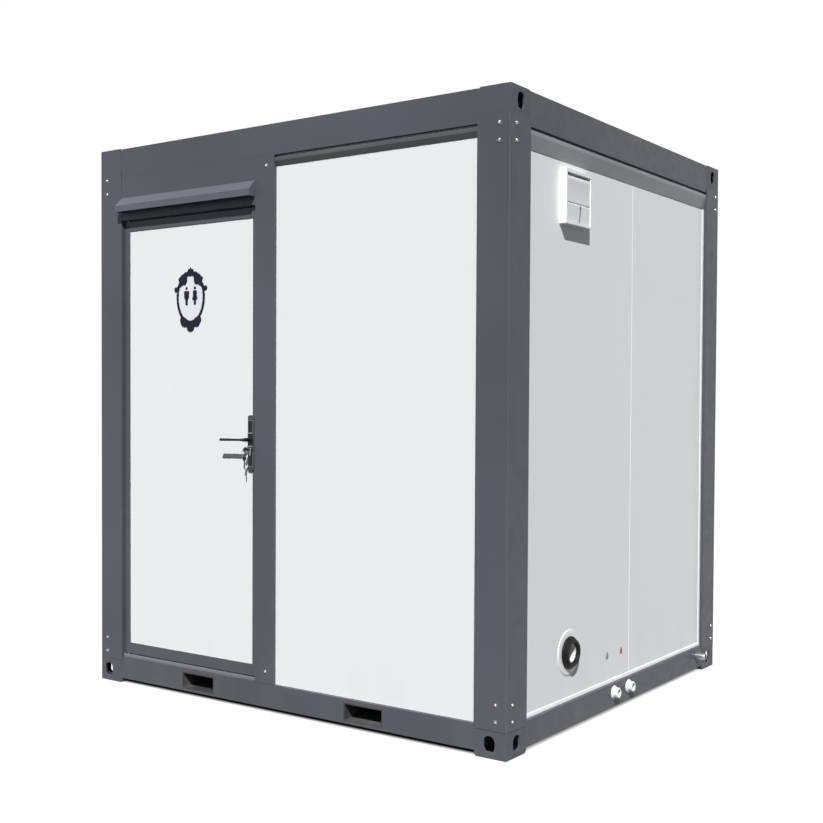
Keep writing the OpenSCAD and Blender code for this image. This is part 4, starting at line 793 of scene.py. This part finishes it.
def vent_flap(node, body, lip):
    """A flap with its rolled upper edge, its pins and, where asked for, a lip under the edge."""
    low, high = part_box(node)
    axis_x, axis_z = low[0] + ROLL_R, high[2] - ROLL_R
    foot, wide = low[2] - axis_z, high[1] - low[1]
    section = [(-0.00125, foot), (0.00125, foot), (0.0018, foot + 0.004)]
    section += [(0.0018, -0.016), (0.0030, -0.012)] if lip else [(0.0018, -0.006)]
    section += [(ROLL_R * math.cos(a), ROLL_R * math.sin(a))
                for a in (math.radians(30 * k) for k in range(7))]
    section += [(-0.00125, -0.004)]
    bm = bmesh.new()
    prism(bm, section, lambda a, b, c: Vector((axis_x + a, low[1] + 0.005 + c, axis_z + b)),
          wide - 0.010)
    lathe(bm, [(0, 0), (0.002, 0), (0.002, wide), (0, wide)],
          (axis_x, low[1], axis_z), (0, 1, 0), 20)
    piece(node + "_leaf", bm, body, "vent_plastic", angle=30, bevel=0.0004, replaced=(node,))


def pull_strap():
    """The strap that opens the lower flap: a knob, and a narrowing tape down to the foot."""
    low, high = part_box("vent_lower_flap")
    axis_x, axis_z = low[0] + ROLL_R, high[2] - ROLL_R
    start = axis_z - 0.006
    hang = start - (low[2] + 0.002)
    rows = []
    for k in range(13):
        t = k / 12
        out = axis_x + 0.0030 + 0.0012 * math.sin(math.pi * t)
        half = 0.0030 - 0.0009 * t
        y = STRAP_Y - 0.0035 * min(1, 6 * t) - 0.0075 * t
        rows.append([Vector((out + d, y + s, start - t * hang)) for d, s in
                     ((0, -half), (STRAP_THICK, -half), (STRAP_THICK, half), (0, half))])
    bm = bmesh.new()
    loft(bm, rows)
    lathe(bm, [(0, 0), (0.0055, 0), (0.0055, 0.0018), (0.004, 0.0032), (0, 0.0036)],
          (axis_x + 0.0012, STRAP_Y, axis_z - 0.0065), (1, 0, 0), 24)
    piece("vent_pull_strap", bm, "lower_flap", "vent_plastic", look="strap_grey", bevel=0.0003)


def vent():
    """The moving pieces of the vent; its housing is a CAD node."""
    vent_flap("vent_upper_flap", "upper_flap", True)
    vent_flap("vent_lower_flap", "lower_flap", False)
    pull_strap()


# Soil outlet and water fittings, all turned about an axis along X

OUTLET_BORE_R = 0.037


def outlet():
    """The white ring on the wall, the ribbed rubber coupling in it, and the pipe's liner."""
    low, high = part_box("outlet_flange")
    wall = low[0]
    _, y, z = middle(low, high)
    r = (high[2] - low[2]) / 2
    bm = bmesh.new()
    lathe(bm, [(0.0525, 0), (r, 0), (r, 0.0010), (r - 0.0008, 0.0022), (r - 0.004, 0.0030),
               (0.0600, 0.0034), (0.0545, 0.0028), (0.0525, 0.0020)],
          (wall, y, z), (1, 0, 0), 96, closed=True)
    piece("outlet_rosette", bm, "cabin", "white_plastic", replaced=("outlet_flange",), angle=25)

    low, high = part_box("outlet_coupling")
    out = high[0] - wall
    r = (high[2] - low[2]) / 2
    bore = OUTLET_BORE_R
    bm = bmesh.new()
    lathe(bm, [(bore, -0.072), (0.052, -0.072), (0.052, 0.0032), (r - 0.001, 0.0032),
               (r, 0.0045), (r, 0.0095), (r - 0.0016, 0.0118), (0.0555, 0.0126),
               (0.0525, 0.0140), (0.0520, 0.0160), (0.0508, 0.0170), (0.0520, 0.0182),
               (0.0520, 0.0205), (0.0508, 0.0215), (0.0520, 0.0226), (0.0520, out - 0.0022),
               (0.0506, out - 0.0004), (0.0490, out), (0.0415, out), (0.0395, out - 0.0012),
               (bore + 0.0004, out - 0.006), (bore, out - 0.012)],
          (wall, y, z), (1, 0, 0), 80, closed=True)
    piece("outlet_sleeve", bm, "cabin", "coupling_rubber", replaced=("outlet_coupling",), angle=40)

    bm = bmesh.new()
    lathe(bm, [(bore - 0.0002, -0.050), (bore - 0.0002, out - 0.0140),
               (bore - 0.0008, out - 0.0130), (bore - 0.0018, out - 0.0135),
               (bore - 0.0022, out - 0.0150), (bore - 0.0022, -0.050)],
          (wall, y, z), (1, 0, 0), 72, closed=True)
    piece("outlet_liner", bm, "cabin", "white_plastic", look="pipe_cream", angle=40)


def water_inlets():
    """Two threaded nozzles on round flanges."""
    low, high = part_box("water_inlets")
    z = middle(low, high)[2]
    r = (high[2] - low[2]) / 2
    out = high[0] - BEAM_FACE
    thread = []
    for k in range(5):
        start = 0.0105 + k * (out - 0.0125) / 5
        thread += [(0.0205, start), (0.0215, start + 0.0008), (0.0215, start + 0.0014),
                   (0.0205, start + 0.0022)]
    back = low[0] - BEAM_FACE
    profile = [(0.0150, back), (0.0185, back), (0.0185, 0.0), (r, 0.0), (r, 0.0018),
               (r - 0.0015, 0.0036), (0.0235, 0.0050), (0.0225, 0.0070)]
    profile += thread
    profile += [(0.0200, out - 0.0008), (0.0192, out), (0.0158, out), (0.0150, out - 0.0008)]
    bm = bmesh.new()
    for y in (low[1] + r, high[1] - r):
        lathe(bm, profile, (BEAM_FACE, y, z), (1, 0, 0), 48, closed=True)
    piece("inlet_nozzles", bm, "cabin", "white_plastic", replaced=("water_inlets",), angle=40)


def drain_stub():
    """A steel tube with a slightly wider end."""
    low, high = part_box("drain_stub")
    _, y, z = middle(low, high)
    r = (high[2] - low[2]) / 2
    end = high[0] - low[0]
    bm = bmesh.new()
    lathe(bm, [(r - 0.003, 0), (r - 0.001, 0), (r - 0.001, end - 0.050), (r, end - 0.050),
               (r, end - 0.014), (r - 0.0008, end - 0.013), (r - 0.0008, end - 0.0018),
               (r - 0.0016, end - 0.0004), (r - 0.0022, end), (r - 0.003, end - 0.0008)],
          (low[0], y, z), (1, 0, 0), 48, closed=True)
    piece("drain_tube", bm, "cabin", "pipe_steel", replaced=("drain_stub",))


# Trims and marks

# Half the length of the trims at the foot of a side wall and of the back
TRIM_SIDE_HALF = 0.820
TRIM_BACK_HALF = 0.9185
# Sections: the first number stands out of the wall
TRIM_FOOT = [(0.0, 0.0003), (0.0024, 0.0003), (0.0030, 0.0010), (0.0030, 0.0135),
             (0.0022, 0.0150), (0.0, 0.0150)]
TRIM_END = [(0.0, 0.0), (0.0026, 0.0), (0.0026, 0.0150), (0.0, 0.0170)]
TRIM_SEAM = [(0.0, -0.0028), (0.0009, -0.0020), (0.0011, 0.0), (0.0009, 0.0020), (0.0, 0.0028)]
MARK_Z = 0.226
MARK_R = 0.0105


def threshold_strip():
    """The light strip under the door."""
    low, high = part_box("door_frame")
    front_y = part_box("door_leaf_frame")[0][1]
    section = [(0.0200, 0.0135), (-0.0035, 0.0135), (-0.0048, 0.0120), (-0.0048, 0.0005),
               (-0.0030, 0.0003), (-0.0005, 0.0118), (0.0200, 0.0128)]
    bm = bmesh.new()
    prism(bm, section, lambda a, b, c: Vector((low[0] + 0.001 + c, front_y + a, low[2] + b)),
          high[0] - low[0] - 0.002)
    piece("threshold_strip", bm, "cabin", "drip_paint", look="threshold_metal", bevel=0.0004)


def wall_trims():
    """White trims at the foot and the seam of three walls, and at the side walls' rear end."""
    low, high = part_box("service_wall_panel")
    wall, seam = high[0], high[1]
    base = low[2]
    start = base + 0.0155
    rise = high[2] - base - 0.093
    for side, out in (("right", 1), ("left", -1)):

        def place(a, y, z):
            return Vector((out * (wall + a), y, z))

        bm = bmesh.new()
        prism(bm, TRIM_FOOT, lambda a, b, c: place(a, c - TRIM_SIDE_HALF, base + b),
              2 * TRIM_SIDE_HALF)
        prism(bm, TRIM_END, lambda a, b, c: place(a, TRIM_SIDE_HALF - 0.0003 - b, start + c), rise)
        prism(bm, TRIM_SEAM, lambda a, b, c: place(a, seam + 0.0002 + b, start + c), rise)
        piece("wall_trim_" + side, bm, "cabin", "wall_skin", look="trim_white", bevel=0.0003)
    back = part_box("back_wall_panels")[1][1]
    bm = bmesh.new()
    prism(bm, TRIM_FOOT, lambda a, b, c: Vector((c - TRIM_BACK_HALF, back + a, base + b)),
          2 * TRIM_BACK_HALF)
    prism(bm, TRIM_SEAM, lambda a, b, c: Vector((b, back + a, start + c)), rise)
    piece("wall_trim_back", bm, "cabin", "wall_skin", look="trim_white", bevel=0.0003)


def inlet_marks():
    """A drop beside the outlet for each water inlet, at its distance from the front edge."""
    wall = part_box("service_wall_panel")[1][0]
    drop = [(MARK_R * math.sin(q), 0.0085 * max(0.0, -math.cos(q)) ** 3 - MARK_R * math.cos(q))
            for q in turns(40)]
    for name, y, look in (("inlet_mark_cold", FRONT_EDGE + 0.816, "mark_grey"),
                          ("inlet_mark_hot", FRONT_EDGE + 0.944, "mark_red")):
        bm = bmesh.new()
        prism(bm, drop, lambda a, b, c: Vector((wall + c, y + a, MARK_Z + b)), 0.0009)
        piece(name, bm, "cabin", "white_plastic", look=look, bevel=0.0002)


# CAD nodes

# Width of the rounding by material slot
EDGE_WIDTH = {"frame_paint": 0.0009, "casting_paint": 0.0010, "wall_skin": 0.0008, "glaze": 0.004,
              "white_plastic": 0.0015, "vent_plastic": 0.0015, "lock_black": 0.001}
OTHER_EDGE_WIDTH = 0.0006
# Rounding would crumple the posts round their holes, and the pan's narrow ledge
SHARP_NODES = ("corner_posts", "door_post", "toilet_pan")


def dress_cad():
    """Gives each CAD node its material, and rounds its edges a little."""
    for row in frame["record"]["subparts"]:
        node, slot = nodes[row["node"]], row["material_slot"]
        node.data.materials.clear()
        node.data.materials.append(MATERIALS[slot])
        if row["node"] in SHARP_NODES:
            continue
        weld = node.modifiers.new("weld", "WELD")
        weld.merge_threshold = 0.00002
        soften(node, EDGE_WIDTH.get(slot, OTHER_EDGE_WIDTH), 2, 40)
        even = node.modifiers.new("even", "WEIGHTED_NORMAL")
        even.keep_sharp = True


# Ground, sky and lamps

def seen_directly(tree):
    """1 for camera, glossy and transmission rays, 0 for the light that falls on the object."""
    path = tree.nodes.new("ShaderNodeLightPath")
    seen = calculate(tree, "MAXIMUM", path.outputs["Is Camera Ray"], path.outputs["Is Glossy Ray"])
    return calculate(tree, "MAXIMUM", seen, path.outputs["Is Transmission Ray"])


def mix_shaders(tree, fac, a, b, surface):
    """Shader a where fac is 0 and b where it is 1, into the given input."""
    pick = tree.nodes.new("ShaderNodeMixShader")
    tree.links.new(fac, pick.inputs["Fac"])
    tree.links.new(a.outputs[0], pick.inputs[1])
    tree.links.new(b.outputs[0], pick.inputs[2])
    tree.links.new(pick.outputs[0], surface)


def open_ground(tree):
    """0 on the ground under the cabin, where the glow is left out so that the ground there shows
    dark as painted shade, and 1 round it.
    """
    outside = []
    for axis, edge in (("X", cad_box[1][0] - 0.06), ("Y", cad_box[1][1] - 0.015)):
        from_middle = calculate(tree, "ABSOLUTE", coordinate(tree, axis))
        outside.append(span_value(tree, from_middle, edge - 0.03, edge, 0.0, 1.0))
    return calculate(tree, "MAXIMUM", *outside)


def add_stage():
    """The ground, white where it is seen, with the cabin's shadows on it."""
    s = GROUND_HALF
    mesh = bpy.data.meshes.new("floor")
    mesh.from_pydata([(-s, -s, 0), (s, -s, 0), (s, s, 0), (-s, s, 0)], [], [(0, 1, 2, 3)])
    floor = bpy.data.objects.new("floor", mesh)
    bpy.context.collection.objects.link(floor)
    mat, tree, shader = new_material("floor_white")
    tone = ramp(tree, noise(tree, 0.7, 3), 0.3, 0.7, (0.150, 0.150, 0.150), (0.165, 0.165, 0.165))
    tree.links.new(tone, shader.inputs["Base Color"])
    shader.inputs["Roughness"].default_value = 1.0
    shader.inputs["Specular IOR Level"].default_value = 0.0
    glow = tree.nodes.new("ShaderNodeEmission")
    glow.inputs["Color"].default_value = WHITE
    # Painted shade: no glow on the ground under the cabin
    tree.links.new(calculate(tree, "MULTIPLY", open_ground(tree), GROUND_GLOW),
                   glow.inputs["Strength"])
    both = tree.nodes.new("ShaderNodeAddShader")
    tree.links.new(shader.outputs[0], both.inputs[0])
    tree.links.new(glow.outputs[0], both.inputs[1])
    matt = tree.nodes.new("ShaderNodeBsdfDiffuse")
    matt.inputs["Color"].default_value = GROUND_BOUNCE
    mix_shaders(tree, seen_directly(tree), matt, both,
                tree.nodes["Material Output"].inputs["Surface"])
    mesh.materials.append(mat)


def add_sun(name, power, spread, azimuth, height):
    """A distant lamp; a wider spread makes its shadows softer."""
    data = bpy.data.lights.new(name, "SUN")
    data.energy = power
    data.angle = spread
    lamp = bpy.data.objects.new(name, data)
    towards = Vector((math.sin(azimuth) * math.cos(height),
                      -math.cos(azimuth) * math.cos(height), math.sin(height)))
    lamp.rotation_euler = towards.to_track_quat("Z", "Y").to_euler()
    bpy.context.collection.objects.link(lamp)


def add_lights():
    """The sky, the sun and the lamp from behind."""
    world = bpy.data.worlds.new("world")
    bpy.context.scene.world = world
    world.use_nodes = True
    tree = world.node_tree
    tree.nodes.clear()
    out = tree.nodes.new("ShaderNodeOutputWorld")
    soft, seen = (tree.nodes.new("ShaderNodeBackground") for _ in range(2))
    soft.inputs["Color"].default_value = SKY_COLOUR
    soft.inputs["Strength"].default_value = SKY_LEVEL
    seen.inputs["Color"].default_value = WHITE
    seen.inputs["Strength"].default_value = 1.0
    mix_shaders(tree, seen_directly(tree), soft, seen, out.inputs["Surface"])
    add_sun("sun", SUN_POWER, SUN_SPREAD, SUN_AZIMUTH, SUN_HEIGHT)
    add_sun("fill", FILL_POWER, FILL_SPREAD, SUN_AZIMUTH + math.pi, FILL_HEIGHT)


add_camera()
add_stage()
add_lights()
bpy.context.scene.view_settings.view_transform = "Standard"
dress_cad()
# The rain hood takes the lighter copy of the frame paint, a painted highlight
nodes["rain_hood"].data.materials[0] = LOOKS["hood_painted_highlight"]
frame_bolts()
door_lock()
keys()
door_sign()
vent()
outlet()
water_inlets()
drain_stub()
threshold_strip()
wall_trims()
inlet_marks()
